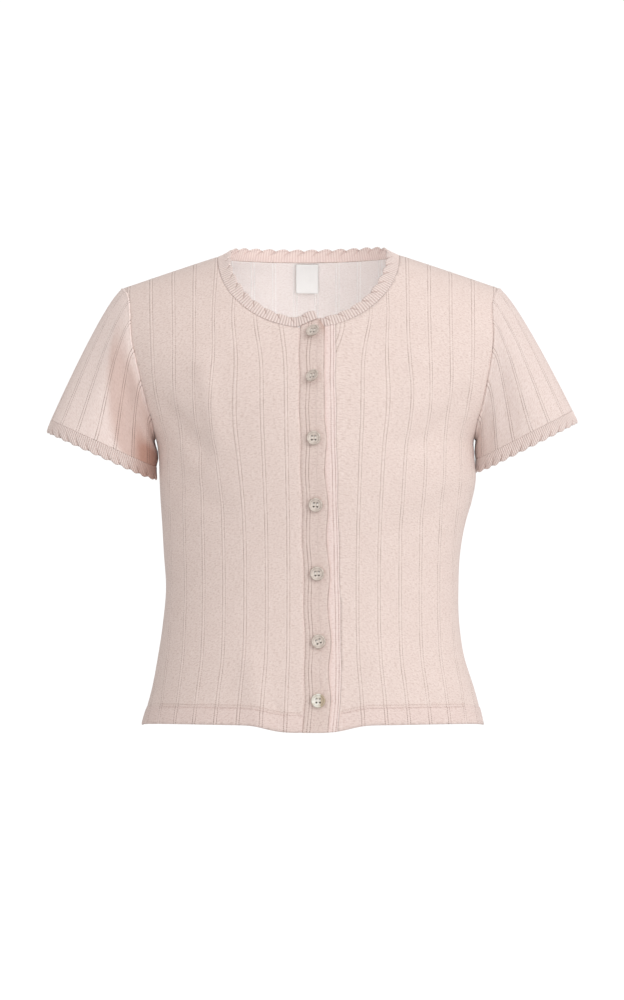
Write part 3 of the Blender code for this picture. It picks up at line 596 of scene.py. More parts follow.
def wire(tree, value, socket):
    """Set a socket to a number or a colour, or link it to another socket."""
    if isinstance(value, bpy.types.NodeSocket):
        tree.links.new(value, socket)
    elif isinstance(value, tuple) and len(value) == 3 and socket.type == "RGBA":
        socket.default_value = (*value, 1)
    else:
        socket.default_value = value


def math_node(tree, operation, a, b=0.0, c=0.0):
    node = tree.nodes.new("ShaderNodeMath")
    node.operation = operation
    for value, socket in zip((a, b, c), node.inputs):
        wire(tree, value, socket)
    return node.outputs[0]


def mix_node(tree, factor, a, b, blend="MIX"):
    node = tree.nodes.new("ShaderNodeMix")
    node.data_type = "RGBA"
    node.blend_type = blend
    wire(tree, factor, node.inputs[0])
    wire(tree, a, node.inputs[6])
    wire(tree, b, node.inputs[7])
    return node.outputs[2]


def range_node(tree, value, low, high, to_low=0.0, to_high=1.0):
    node = tree.nodes.new("ShaderNodeMapRange")
    node.interpolation_type = "SMOOTHSTEP"
    for number, item in enumerate((value, low, high, to_low, to_high)):
        wire(tree, item, node.inputs[number])
    return node.outputs[0]


def noise_node(tree, vector, scale, detail=2.0, roughness=0.5):
    node = tree.nodes.new("ShaderNodeTexNoise")
    wire(tree, vector, node.inputs["Vector"])
    node.inputs["Scale"].default_value = scale
    node.inputs["Detail"].default_value = detail
    node.inputs["Roughness"].default_value = roughness
    return node.outputs["Fac"]


def stretched(tree, vector, scale):
    node = tree.nodes.new("ShaderNodeMapping")
    wire(tree, vector, node.inputs["Vector"])
    node.inputs["Scale"].default_value = scale
    return node.outputs["Vector"]


def combined(tree, x, y):
    node = tree.nodes.new("ShaderNodeCombineXYZ")
    for value, socket in zip((x, y), node.inputs):
        wire(tree, value, socket)
    return node.outputs[0]


def separated(tree, vector):
    node = tree.nodes.new("ShaderNodeSeparateXYZ")
    wire(tree, vector, node.inputs[0])
    return node.outputs


def cloth_map(tree):
    node = tree.nodes.new("ShaderNodeUVMap")
    node.uv_map = "Cloth"
    return node.outputs["UV"]


def new_material(name, settings):
    """A material with its node tree and its shader, whose inputs take the settings."""
    material = bpy.data.materials.new(name)
    material.use_nodes = True
    shader = material.node_tree.nodes["Principled BSDF"]
    for label, value in settings.items():
        shader.inputs[label].default_value = value
    return material, material.node_tree, shader


def add_relief(tree, shader, height, distance):
    relief = tree.nodes.new("ShaderNodeBump")
    relief.inputs["Distance"].default_value = distance
    wire(tree, height, relief.inputs["Height"])
    wire(tree, relief.outputs["Normal"], shader.inputs["Normal"])


WALE_PITCH, COURSE_PITCH = 0.95, 0.7
jersey_group, given, out = new_group(
    "pointelle jersey",
    (("Phase", 0.0), ("Length", 0.0), ("Yarn", (0.7, 0.6, 0.5)), ("Dark Fleck", (0.5, 0.4, 0.4)),
     ("Pale Fleck", (0.9, 0.8, 0.8)), ("Eyelet", (0.4, 0.3, 0.3)), ("Eyelet Strength", 1.0),
     ("Spacing", RIB_PITCH)),
    (("Color", "NodeSocketColor"), ("Height", "NodeSocketFloat")))
tree = jersey_group
across = math_node(tree, "MULTIPLY", given.outputs["Phase"], given.outputs["Spacing"])
down = math_node(tree, "MULTIPLY", given.outputs["Length"], 100.0)
cloth_place = combined(tree, across, down)
nearest = math_node(tree, "ROUND", given.outputs["Phase"])
off = math_node(tree, "SUBTRACT", given.outputs["Phase"], nearest)
off = math_node(tree, "ABSOLUTE", math_node(tree, "MULTIPLY", off, given.outputs["Spacing"]))
# eyelets: dark dots of painted shade, the shade in the holes, where both the row and the course meet
row_away = math_node(tree, "ABSOLUTE", math_node(tree, "SUBTRACT", off, EYELET_OFFSET))
row_mask = range_node(tree, row_away, 0.1, 0.54, 1.0, 0.0)
course = math_node(tree, "SINE", math_node(tree, "MULTIPLY", down, 2 * math.pi / EYELET_PITCH))
course = range_node(tree, course, -0.5, 0.7)
dot = math_node(tree, "MULTIPLY", row_mask, math_node(tree, "MULTIPLY_ADD", course, 0.82, 0.18))
# the eyelets' painted shade is patchy along the cloth
patchy_eyelet_shade = noise_node(tree, stretched(tree, cloth_place, (0.04, 0.05, 1)), 1.0, 1.0)
dot = math_node(tree, "MULTIPLY", dot, range_node(tree, patchy_eyelet_shade, 0.3, 0.7, 0.45, 1.0))
dot = math_node(tree, "MULTIPLY", dot, given.outputs["Eyelet Strength"])
# melange: short flecks along the courses, and slow clouds
flecks = noise_node(tree, stretched(tree, cloth_place, (0.30, 0.80, 1)), 1.0, 2.0, 0.6)
fine_flecks = noise_node(tree, stretched(tree, cloth_place, (0.55, 1.5, 1)), 1.0, 1.0)
clouds = noise_node(tree, stretched(tree, cloth_place, (0.05, 0.06, 1)), 1.0, 3.0)
dark_fleck, pale_fleck = given.outputs["Dark Fleck"], given.outputs["Pale Fleck"]
color = mix_node(tree, range_node(tree, flecks, 0.47, 0.64), given.outputs["Yarn"], dark_fleck)
color = mix_node(tree, range_node(tree, fine_flecks, 0.52, 0.70, 0.0, 0.8), color, pale_fleck)
color = mix_node(tree, range_node(tree, clouds, 0.35, 0.65, 0.0, 0.12), color, dark_fleck)
# painted highlight: the ridge between the rows and the swell beyond them are coloured paler, as they catch a
# little more light
ridge = range_node(tree, off, 0.2, 1.2, 0.18, 0.0)
color = mix_node(tree, ridge, color, pale_fleck)
swell = math_node(tree, "ABSOLUTE", math_node(tree, "SUBTRACT", off, 3.0))
color = mix_node(tree, range_node(tree, swell, 0.2, 1.0, 0.12, 0.0), color, pale_fleck)
color = mix_node(tree, dot, color, given.outputs["Eyelet"])
wire(tree, color, out.inputs["Color"])
wales = math_node(tree, "SINE", math_node(tree, "MULTIPLY", across, 2 * math.pi / WALE_PITCH))
courses = math_node(tree, "SINE", math_node(tree, "MULTIPLY", down, 2 * math.pi / COURSE_PITCH))
knit = math_node(tree, "MULTIPLY_ADD", wales, 0.5, math_node(tree, "MULTIPLY", courses, 0.3))
height = math_node(tree, "MULTIPLY_ADD", flecks, 2.2, math_node(tree, "MULTIPLY", knit, 0.5))
height = math_node(tree, "SUBTRACT", height, math_node(tree, "MULTIPLY", dot, 2.5))
wire(tree, height, out.inputs["Height"])


# painted shade: the warm dark tone that the Shade attribute multiplies into the cloth's colour where it hangs
# doubled up in the shade
DEEP_SHADE = (0.60, 0.42, 0.36)


def cloth_material(name, group, values, bump, sheen_roughness):
    """Material of a knit group, which takes its place on the cloth first and then the values."""
    material, tree, shader = new_material(name, {"Roughness": 0.92, "Specular IOR Level": 0.15,
                                                 "Sheen Weight": 0.3, "Sheen Roughness": sheen_roughness})
    knit = tree.nodes.new("ShaderNodeGroup")
    knit.node_tree = group
    place = separated(tree, cloth_map(tree))
    for value, socket in zip((place["X"], place["Y"], *values), knit.inputs):
        wire(tree, value, socket)
    # painted shade: the Shade attribute darkens the knit's colour towards DEEP_SHADE
    shade = tree.nodes.new("ShaderNodeAttribute")
    shade.attribute_name = "Shade"
    shaded = mix_node(tree, shade.outputs["Fac"], knit.outputs["Color"], DEEP_SHADE, "MULTIPLY")
    wire(tree, shaded, shader.inputs["Base Color"])
    add_relief(tree, shader, knit.outputs["Height"], bump)
    return material


def jersey_material(name, yarn, dark, pale, eyelet, strength=1.0, spacing=RIB_PITCH):
    return cloth_material(name, jersey_group, (yarn, dark, pale, eyelet, strength, spacing), 0.00012, 0.3)


# the yarn and its flecks; the eyelets' dark colour is painted shade
YARN, DARK_FLECK = (0.790, 0.655, 0.605), (0.680, 0.540, 0.490)
PALE_FLECK, EYELET_SHADE = (0.890, 0.780, 0.735), (0.400, 0.285, 0.245)
jersey = jersey_material("dusty pink jersey", YARN, DARK_FLECK, PALE_FLECK, EYELET_SHADE)
back_jersey = jersey_material("dusty pink jersey, back panel", YARN, DARK_FLECK, PALE_FLECK, EYELET_SHADE,
                              spacing=BACK_PITCH)
jersey_double = jersey_material("dusty pink jersey, turned-up hem", (0.785, 0.640, 0.595),
                                (0.675, 0.525, 0.480), (0.885, 0.765, 0.725), (0.400, 0.280, 0.245), 1.5)
# the wrong side is paler, partly as painted light over the inside of the back, and its pale eyelets are
# painted light coming through the holes
jersey_inside = jersey_material("dusty pink jersey, wrong side", (0.850, 0.785, 0.765), (0.790, 0.715, 0.690),
                                (0.930, 0.880, 0.865), (1.000, 0.980, 0.970), 1.9, BACK_PITCH)

right_front = panel("right_front_jersey", FRONT, RIGHT, (jersey, jersey_inside, jersey_double, jersey_inside))
left_front = panel("left_front_jersey", FRONT, LEFT, (jersey, jersey_inside, jersey_double, jersey_inside))
back_panel = panel("back_jersey", BACK, 0, (back_jersey, jersey_inside, back_jersey, jersey_inside))
for piece, node in ((right_front, "front_right"), (left_front, "front_left"), (back_panel, "back")):
    stand_for(piece, node)


def thread_material(name, dark, light):
    material, tree, shader = new_material(name, {"Roughness": 0.8})
    plies = noise_node(tree, tree.nodes.new("ShaderNodeTexCoord").outputs["Object"], 2500.0, 1.0)
    wire(tree, mix_node(tree, plies, dark, light), shader.inputs["Base Color"])
    return material


def threads(name, paths, radius, beside, material, sides=6):
    """Piece of closed threads, one along each path; beside is a direction square to all of them."""
    beside = np.array(beside, float)
    turns = np.linspace(0, 2 * math.pi, sides, endpoint=False)
    points, faces = [], []
    for path in paths:
        first, last = len(points), len(points) + (len(path) - 1) * sides
        up = unit(np.cross(unit(np.gradient(path, axis=0)), beside))
        for place, rise_way in zip(path, up):
            points += [place + radius * (math.cos(a) * beside + math.sin(a) * rise_way) for a in turns]
        for start in range(first, last, sides):
            for k in range(sides):
                a, b = start + k, start + (k + 1) % sides
                faces.append((a, b, b + sides, a + sides))
        faces += [tuple(range(first + sides - 1, first - 1, -1)), tuple(range(last, last + sides))]
    return make_mesh(name, points, faces, np.zeros((len(points), 2)), (material,))


# Coverstitch of the turned-up hem: two rows of short stitches on each panel
hem_thread = thread_material("pink sewing thread", (0.520, 0.380, 0.340), (0.680, 0.540, 0.490))
STITCH_PITCH, STITCH_LENGTH, STITCH_SLANT, ROW_SHIFT, ROW_PLACES = 2.9, 2.0, 0.8, 1.4, (-1.5, 1.5)
STITCH_ARCH, STITCH_SINK, STITCHED_HALF = 0.32, 0.12, 174
along = np.linspace(0, 1, 5)
paths = []
for face in (FRONT, BACK):
    for row, place in enumerate(ROW_PLACES):
        starts = np.arange(-STITCHED_HALF + ROW_SHIFT * row, STITCHED_HALF, STITCH_PITCH)
        if face == FRONT:
            right_end, left_start = top_band_seam(STITCH_HEIGHT) - 3, under_band_seam(STITCH_HEIGHT) + 1
            starts = starts[(starts < right_end) | (starts > left_start)]
        for start in starts:
            s = start + STITCH_LENGTH * along
            z = hem_height(face, s) + HEM_DEPTH + place + (0.5 - along) * STITCH_SLANT * (-1) ** row
            points, normals = body_surface(face, s, z)
            lift = surface_rise(face, s, z, rib_phase(face, undrawn(face, s, z)))
            lift += STITCH_ARCH * np.sin(math.pi * along) - STITCH_SINK
            paths.append(points + normals * lift[:, None])
piece = threads("hem_stitches", paths, 0.2, (0, 0, 1), hem_thread)
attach(piece, "root")

# ---------------------------------------------------------------- Sleeves
# Short set-in sleeves of the same jersey, gathered slightly into the armholes and hanging filled out
# round the upper arm, with soft folds running down from the underarm.

CUFF_HALF_DEPTH, ARMHOLE_GAP, CAP_EASE, SLEEVE_RIBS = 44, -0.35, 1.6, 7
# how the cloth leaves the armhole, outwards, forwards and upwards: at its top, half way and underarm
SLEEVE_STARTS = np.array(((0.827, 0, -0.562), (0.85, 0.30, -0.40), (1, 0, -0.10)))
ARMHOLE_REACH, CUFF_REACH = (42, 28), (46.5, 21.5)
SLEEVES = (
    # name, side, outer end x, z, underarm end x, z, sideways lean of the trim
    ("right", RIGHT, 271.4, -170.4, 163.2, -219.0, 0.30),
    ("left", LEFT, 270.9, -160.7, 170.8, -211.5, 0.38),
)
SLEEVE_FOLDS = (
    # side, half, place round the half, row from, row to, width, rise
    (RIGHT, FRONT, 0.66, 0.18, 1.0, 0.085, -4.0),
    (RIGHT, FRONT, 0.42, 0.15, 1.0, 0.10, 2.4),
    (RIGHT, FRONT, 0.80, 0.30, 1.0, 0.045, -1.8),
    (RIGHT, FRONT, 1.0, 0.28, 1.0, 0.11, 3.9),
    (RIGHT, BACK, 1.0, 0.28, 1.0, 0.11, 3.9),
    (RIGHT, BACK, 0.60, 0.15, 0.9, 0.10, -3.0),
    (LEFT, FRONT, 0.62, 0.15, 1.0, 0.085, -2.6),
    (LEFT, FRONT, 0.40, 0.20, 1.0, 0.10, 2.0),
    (LEFT, FRONT, 0.78, 0.30, 1.0, 0.045, -1.2),
    (LEFT, FRONT, 1.0, 0.28, 1.0, 0.10, 2.0),
    (LEFT, BACK, 1.0, 0.28, 1.0, 0.10, 2.0),
    (LEFT, BACK, 0.56, 0.20, 0.9, 0.11, -3.2),
)
FOLD_EASE, FOLD_LOSS = 0.3, 0.6
# the roll of the cloth beside the armhole seam, and the dip to the cuff's seam
SLEEVE_START_FORM, SLEEVE_END_FORM, SLEEVE_LENGTH = ((0.7, 1.6, 1.3), (-0.3, 0, 0.8)), ((-0.25, 0, 1.2),), 140


def sleeve_form(side, outer_x, outer_z, inner_x, inner_z):
    """Functions giving the bare sleeve's points at u round it and v down it, and its normals there."""
    middle = np.array((side * (outer_x + inner_x) / 2, 0, (outer_z + inner_z) / 2))
    reach = np.array((side * (outer_x - inner_x) / 2, 0, (outer_z - inner_z) / 2))
    fall = unit(np.array((side * reach[2], 0, -abs(reach[0]))))
    turns = np.linspace(0, math.pi, 97)
    ring = np.stack((np.linalg.norm(reach) * np.cos(turns), CUFF_HALF_DEPTH * np.sin(turns)), axis=1)
    ring_shares = running_lengths(ring) / running_lengths(ring)[-1]
    seams = {}
    for face in (FRONT, BACK):
        x, z = armhole_place(face, side, np.linspace(0, math.pi, 160))
        points = body_surface(face, length_at(face, x, z), z)[0]
        lengths = running_lengths(points)
        seams[face] = (lengths / lengths[-1], points)

    def point_at(u, v):
        u = np.mod(u, 2)
        front = u <= 1
        q = np.where(front, u, 2 - u)
        face = np.where(front, FRONT, BACK)
        place = q**CAP_EASE
        start = np.stack([np.where(front, np.interp(place, seams[FRONT][0], seams[FRONT][1][:, k]),
                                   np.interp(place, seams[BACK][0], seams[BACK][1][:, k]))
                          for k in range(3)], axis=1)
        turn = math.pi * q
        shares = np.stack((np.maximum(np.cos(turn), 0), np.sin(turn), np.maximum(-np.cos(turn), 0)), axis=1)
        leave = shares @ SLEEVE_STARTS
        leave = unit(leave * np.stack((np.full(len(u), side), face, np.ones(len(u))), axis=1))
        start = start + leave * ARMHOLE_GAP
        ring_turn = np.interp(q, ring_shares, turns)
        end = middle + reach * np.cos(ring_turn)[:, None]
        end[:, 1] += face * CUFF_HALF_DEPTH * np.sin(ring_turn)
        first, last = ((least + more * np.cos(turn))[:, None] for least, more in (ARMHOLE_REACH, CUFF_REACH))
        hang = unit(fall * (1 - shares[:, 2:]) - np.array((0, 0, 1.0)) * shares[:, 2:])
        return hermite(start, end, leave * first, hang * last, np.asarray(v, float)[:, None])

    def normal_at(u, v):
        round_it = point_at(u + 0.01, v) - point_at(u - 0.01, v)
        down_it = point_at(u, np.minimum(v + 0.01, 1)) - point_at(u, np.maximum(v - 0.01, 0))
        normals = unit(np.cross(round_it, down_it))
        return normals * side

    return point_at, normal_at


def sleeve_fold(side, u, v):
    front = np.mod(u, 2) <= 1
    q = np.where(front, np.mod(u, 2), 2 - np.mod(u, 2))
    rise = np.zeros(len(q))
    for fold_side, half, place, start, end, width, height in SLEEVE_FOLDS:
        if fold_side == side:
            along = smooth_step((v - start) / FOLD_EASE)
            along = along * (1 - FOLD_LOSS * smooth_step((v - end + FOLD_EASE) / FOLD_EASE))
            rise += np.where(front == (half == FRONT), along * bumps(q, ((height, place, width),)), 0)
    return rise


def tube_faces(columns, rows, closed, flip):
    faces = []
    for i in range(columns if closed else columns - 1):
        for j in range(rows - 1):
            a, b = i * rows + j, ((i + 1) % columns) * rows + j
            faces.append((a, b, b + 1, a + 1) if flip else (a, a + 1, b + 1, b))
    return faces


def sleeve_columns():
    """Places round the sleeve, close together on each rib."""
    pitch, least = 1 / (SLEEVE_RIBS + 0.5), 0.003
    half = [(k + 0.5 + step / RIB_PITCH) * pitch for k in range(SLEEVE_RIBS + 1) for step in RIB_STEPS]
    half = np.array(sorted(q for q in half if least < q < 1 - least))
    half = half[np.concatenate(([True], np.diff(half) > least / 2))]
    return np.concatenate(([0], half, [1], 2 - half[::-1]))


def add_shade(piece, values):
    """Painted shade: how deep each point of a piece lies in the shade of its neighbours, kept as its Shade
    attribute.
    """
    shade = piece.data.attributes.new("Shade", "FLOAT", "POINT")
    shade.data.foreach_set("value", np.asarray(values, np.float32))


# how strongly the light and the deep painted shade darken the sleeve
LIGHT_SHADE_SHARE, DEEP_SHADE_SHARE = 0.45, 0.8
# the sleeves' own copies of the jersey, for their light: the right sleeve's is paler, painted light, and the
# left one's a little less saturated
sleeve_jersey = {
    RIGHT: jersey_material("dusty pink jersey, right sleeve", (0.885, 0.745, 0.700), (0.775, 0.630, 0.580),
                           (0.960, 0.860, 0.820), (0.400, 0.280, 0.240), 1.8),
    LEFT: jersey_material("dusty pink jersey, left sleeve", (0.790, 0.665, 0.625), DARK_FLECK, PALE_FLECK,
                          (0.430, 0.310, 0.270), 1.6),
}
sleeve_shapes = {}
for name, side, outer_x, outer_z, inner_x, inner_z, lean in SLEEVES:
    point_at, normal_at = sleeve_form(side, outer_x, outer_z, inner_x, inner_z)
    sleeve_shapes[name] = (side, point_at, normal_at, lean)
    u_line = sleeve_columns()
    v_line = np.concatenate((np.linspace(0, 0.05, 6), np.linspace(0.05, 0.97, 56)[1:],
                             np.linspace(0.97, 1, 5)[1:]))
    u, v = np.repeat(u_line, len(v_line)), np.tile(v_line, len(u_line))
    q = np.where(u <= 1, u, 2 - u)
    phase = q * (SLEEVE_RIBS + 0.5) - 0.5
    points = point_at(u, v)
    down_length = np.linalg.norm(np.diff(points.reshape(len(u_line), -1, 3), axis=1), axis=2)
    down_length = np.concatenate((np.zeros((len(u_line), 1)), np.cumsum(down_length, axis=1)), axis=1).ravel()
    rise = sleeve_fold(side, u, v) + rib_rise(phase) * smooth_step(v / 0.02)
    rise += bumps(down_length, SLEEVE_START_FORM) + bumps((1 - v) * SLEEVE_LENGTH, SLEEVE_END_FORM)
    points = points + normal_at(u, v) * rise[:, None]
    uvs = np.stack((phase, down_length / 100), axis=1)
    faces = tube_faces(len(u_line), len(v_line), True, side == LEFT)
    piece = make_mesh("sleeve_jersey_" + name, points, faces, uvs, (sleeve_jersey[side], jersey_inside))
    if side == RIGHT:
        # painted shade: a light one from the slanting fold inwards, and a deep one under the arm
        light = smooth_step((q - 0.19 - 0.41 * v) / 0.10) * smooth_step((v + 0.5 * q - 0.32) / 0.3)
        deep = smooth_step((q - 0.68) / 0.20) * smooth_step((v - 0.45) / 0.35)
        add_shade(piece, LIGHT_SHADE_SHARE * light + DEEP_SHADE_SHARE * deep)
    add_wall(piece, JERSEY_WALL, 1)
    stand_for(piece, "sleeve_" + name)

# ---------------------------------------------------------------- Bands
# Folded strips of the jersey, one rib pitch wide. The buttonhole band lies on top and is drawn
# towards each button, and the button band lies under it; both are sewn down the front edges.

TOP_BAND_EDGE, TOP_EDGE_WAVE, WAVE_FROM, WAVE_OVER = 11.7, 1.3, -150, 40
UNDER_BAND_EDGE, BAND_WALL, BAND_EDGE_REACH = -4.0, 1.5, 0.9
FREE_EDGE_DIP, SEAM_EDGE_DIP = -0.9, -0.15
PULL_RISE, PULL_AWAY, PULL_LENGTH, PULL_TURN, PULL_SPREAD, PULL_CREASES = 0.6, 10, 3.0, 0.8, 0.7, 10
CORNER_SHADE, CORNER_SHADE_HEIGHT = 0.5, 8


def button_pull(offset, z):
    """Short creases that run from each button up towards the free edge."""
    rise = 0
    for height in BUTTON_HEIGHTS:
        away, turn = np.hypot(offset, z - height), np.arctan2(z - height, offset) - PULL_TURN
        near = np.exp(-((away - PULL_AWAY) / PULL_LENGTH) ** 2 - (turn / PULL_SPREAD) ** 2)
        rise = rise + PULL_RISE * np.cos(PULL_CREASES * turn) * near
    return rise


def free_edge(z):
    """Distance of the top band's free edge, which is straight as far down as below the second button."""
    return TOP_BAND_EDGE + TOP_EDGE_WAVE * button_wave(z) * smooth_step((WAVE_FROM - z) / WAVE_OVER)


def band(name, near, far, ribs, stand, node, material):
    """A band from the line near to the line far, with eyelet pairs on the lines in ribs."""
    shares = np.concatenate((np.linspace(0, 0.08, 4), np.linspace(0.08, 0.92, 22)[1:],
                             np.linspace(0.92, 1, 4)[1:]))
    z_line = np.linspace(HEM_LOWEST, BAND_LINE[-1, 0], 300)
    share, z = np.repeat(shares, len(z_line)), np.tile(z_line, len(shares))
    s = near(z) + (far(z) - near(z)) * share
    low, high = hem_height(FRONT, s), neck_height(FRONT, s)
    on_top = node == "buttonhole_band"
    if on_top:
        high = high + raised_corner(s)
    z = low + (z - z_line[0]) / (z_line[-1] - z_line[0]) * (high - low)
    s = near(z) + (far(z) - near(z)) * share
    offset = s - band_line(z)
    points, normals = body_surface(FRONT, s, z)
    away = np.array([offset - rib(z) for rib in ribs]) / RIB_PITCH
    nearest = np.abs(away).argmin(axis=0)
    phase = nearest + np.clip(away[nearest, np.arange(len(s))], -0.5, 0.5)
    rise = stand(share) + rib_rise(phase) + fold_rise(FRONT, s, z)
    if on_top:
        rise += button_pull(offset, z)
    edge = np.where(share < 0.5, share, 1 - share) * (far(z) - near(z))
    edge_dip = np.where((share > 0.5) & (not on_top), SEAM_EDGE_DIP, FREE_EDGE_DIP)
    rise += edge_dip * np.exp(-(edge / BAND_EDGE_REACH) ** 2)
    uvs = np.stack((phase, z / 100), axis=1)
    faces = tube_faces(len(shares), len(z_line), False, True)
    piece = make_mesh(name, points + normals * rise[:, None], faces, uvs, (material, jersey_inside))
    if on_top:
        # painted shade: the corner beside the trim's end is darkened, as it lies in the trim's shade
        near_top = bumps(high - z, ((CORNER_SHADE, 0, CORNER_SHADE_HEIGHT),))
        corner = near_top * smooth_step((share - 0.66) / 0.2)
        add_shade(piece, corner)
    add_wall(piece, BAND_WALL, 1)
    stand_for(piece, node)
    return piece


def top_band_rib(z):
    """Offset of the eyelet rows beside the top band's seam, which come nearer the buttons upwards."""
    return np.interp(z, (-258, -129, -83), (-7.8, -4.9, -3.8)) + 0.7 * button_wave(z)


# copies of the jersey for the bands: the buttonhole band's is darker, and the button band's paler, partly
# painted light where it lies lit beside the top band
band_jersey = jersey_material("dusty pink jersey, bands", (0.735, 0.600, 0.550), (0.620, 0.480, 0.435),
                              (0.830, 0.715, 0.665), (0.380, 0.265, 0.230), 1.4)
under_jersey = jersey_material("dusty pink jersey, button band", (0.850, 0.695, 0.655), (0.740, 0.580, 0.535),
                               (0.930, 0.820, 0.785), (0.480, 0.310, 0.280), 1.4)
top_band = band("buttonhole_band_jersey",
                lambda z: top_band_seam(z) - 0.4, lambda z: band_line(z) + free_edge(z),
                (top_band_rib, lambda z: free_edge(z) + 0.9),
                lambda share: 0.2 + 1.6 * share, "buttonhole_band", band_jersey)
under_band = band("button_band_jersey",
                  lambda z: band_line(z) + UNDER_BAND_EDGE, lambda z: under_band_seam(z) + 0.2,
                  (lambda z: UNDER_BAND_SEAM - 3.2 - 0.2 * button_wave(z),),
                  lambda share: -1.9 * (1 - share), "button_band", under_jersey)

# ---------------------------------------------------------------- Neck and cuff trims
# Narrow bought-in edging: a finely ribbed strip that ends in knitted scallops, sewn round the neck
# over both band tops, and round each sleeve end.

TRIM_WIDTH, SCALLOP_DEPTH, SCALLOP_ROUND, SCALLOP_LEAN = 12.0, 2.2, 0.8, 1.35
FRONT_NARROWING = 1.2
NECK_SCALLOPS, CUFF_SCALLOPS = 38, 27
TRIM_WALL, TRIM_GAP, TRIM_PLUMB_FROM, TRIM_BUMP = 1.3, 0.1, 0.85, 0.0002
TRIM_RIB, TRIM_RIB_RISE = 2.3, 0.28
LOBE, LOBE_SLANT, LOBE_RISE, CREASE_DEPTH, CREASE_REACH = 12.2, 0.055, 0.5, 1.1, 1.1
EDGING_DEPTH, EDGING_EASE = 9.0, 4.0
SEAM_DIP, SEAM_DIP_SHARE, EDGE_ROUND, EDGE_ROUND_FROM = 0.3, 0.06, 0.8, 0.9
TRIM_ROWS = np.array((0, 0.04, 0.1, 0.2, 0.3, 0.4, 0.5, 0.58, 0.66, 0.74, 0.82, 0.89, 0.95, 1.0))

trim_group, given, out = new_group(
    "ribbed edging",
    (("Along", 0.0), ("Across", 0.0), ("Yarn", (0.7, 0.6, 0.5)), ("Groove", (0.5, 0.4, 0.4)),
     ("Pale Fleck", (0.9, 0.8, 0.8))),
    (("Color", "NodeSocketColor"), ("Height", "NodeSocketFloat")))
tree = trim_group
along = math_node(tree, "MULTIPLY", given.outputs["Along"], 100.0)
across = math_node(tree, "MULTIPLY", given.outputs["Across"], 100.0)
place = combined(tree, along, across)
rib = math_node(tree, "SINE", math_node(tree, "MULTIPLY", along, 2 * math.pi / TRIM_RIB))
# painted shade in the grooves between the fine ribs
groove = range_node(tree, rib, -1.0, 0.0, 1.0, 0.0)
# painted shade: the crease from each dip of the edge slants down into the strip
lobe = math_node(tree, "MULTIPLY_ADD", across, -LOBE_SLANT, math_node(tree, "DIVIDE", along, LOBE))
lobe = math_node(tree, "SUBTRACT", lobe, math_node(tree, "ROUND", lobe))
crease = range_node(tree, math_node(tree, "ABSOLUTE", lobe), 0.0, 0.07, 1.0, 0.0)
crease = math_node(tree, "MULTIPLY", crease, range_node(tree, across, -9.0, -5.0))
flecks = noise_node(tree, stretched(tree, place, (1.0, 1.2, 1)), 1.0, 2.0)
color = mix_node(tree, range_node(tree, flecks, 0.5, 0.72, 0.0, 0.6), given.outputs["Yarn"],
                 given.outputs["Pale Fleck"])
color = mix_node(tree, math_node(tree, "MULTIPLY", groove, 0.62), color, given.outputs["Groove"])
color = mix_node(tree, math_node(tree, "MULTIPLY", crease, 0.95), color, given.outputs["Groove"])
wire(tree, color, out.inputs["Color"])
stitches = math_node(tree, "SINE", math_node(tree, "MULTIPLY", across, 2 * math.pi / 0.9))
height = math_node(tree, "MULTIPLY_ADD", stitches, 0.35, math_node(tree, "MULTIPLY", flecks, 1.5))
wire(tree, math_node(tree, "MULTIPLY_ADD", rib, 0.8, height), out.inputs["Height"])


trim_knit = cloth_material("dusty pink edging", trim_group, (
    (0.835, 0.705, 0.660), (0.540, 0.390, 0.350), (0.930, 0.825, 0.785)), TRIM_BUMP, 0.5)
trim_inside = cloth_material("dusty pink edging, wrong side", trim_group, (
    (0.860, 0.715, 0.670), (0.690, 0.520, 0.480), (0.940, 0.820, 0.780)), TRIM_BUMP, 0.5)


def at_front(y):
    """1 where the neck trim lies on the chest, easing to 0 at the sides of the neck."""
    return smooth_step((-y - 60) / 28)


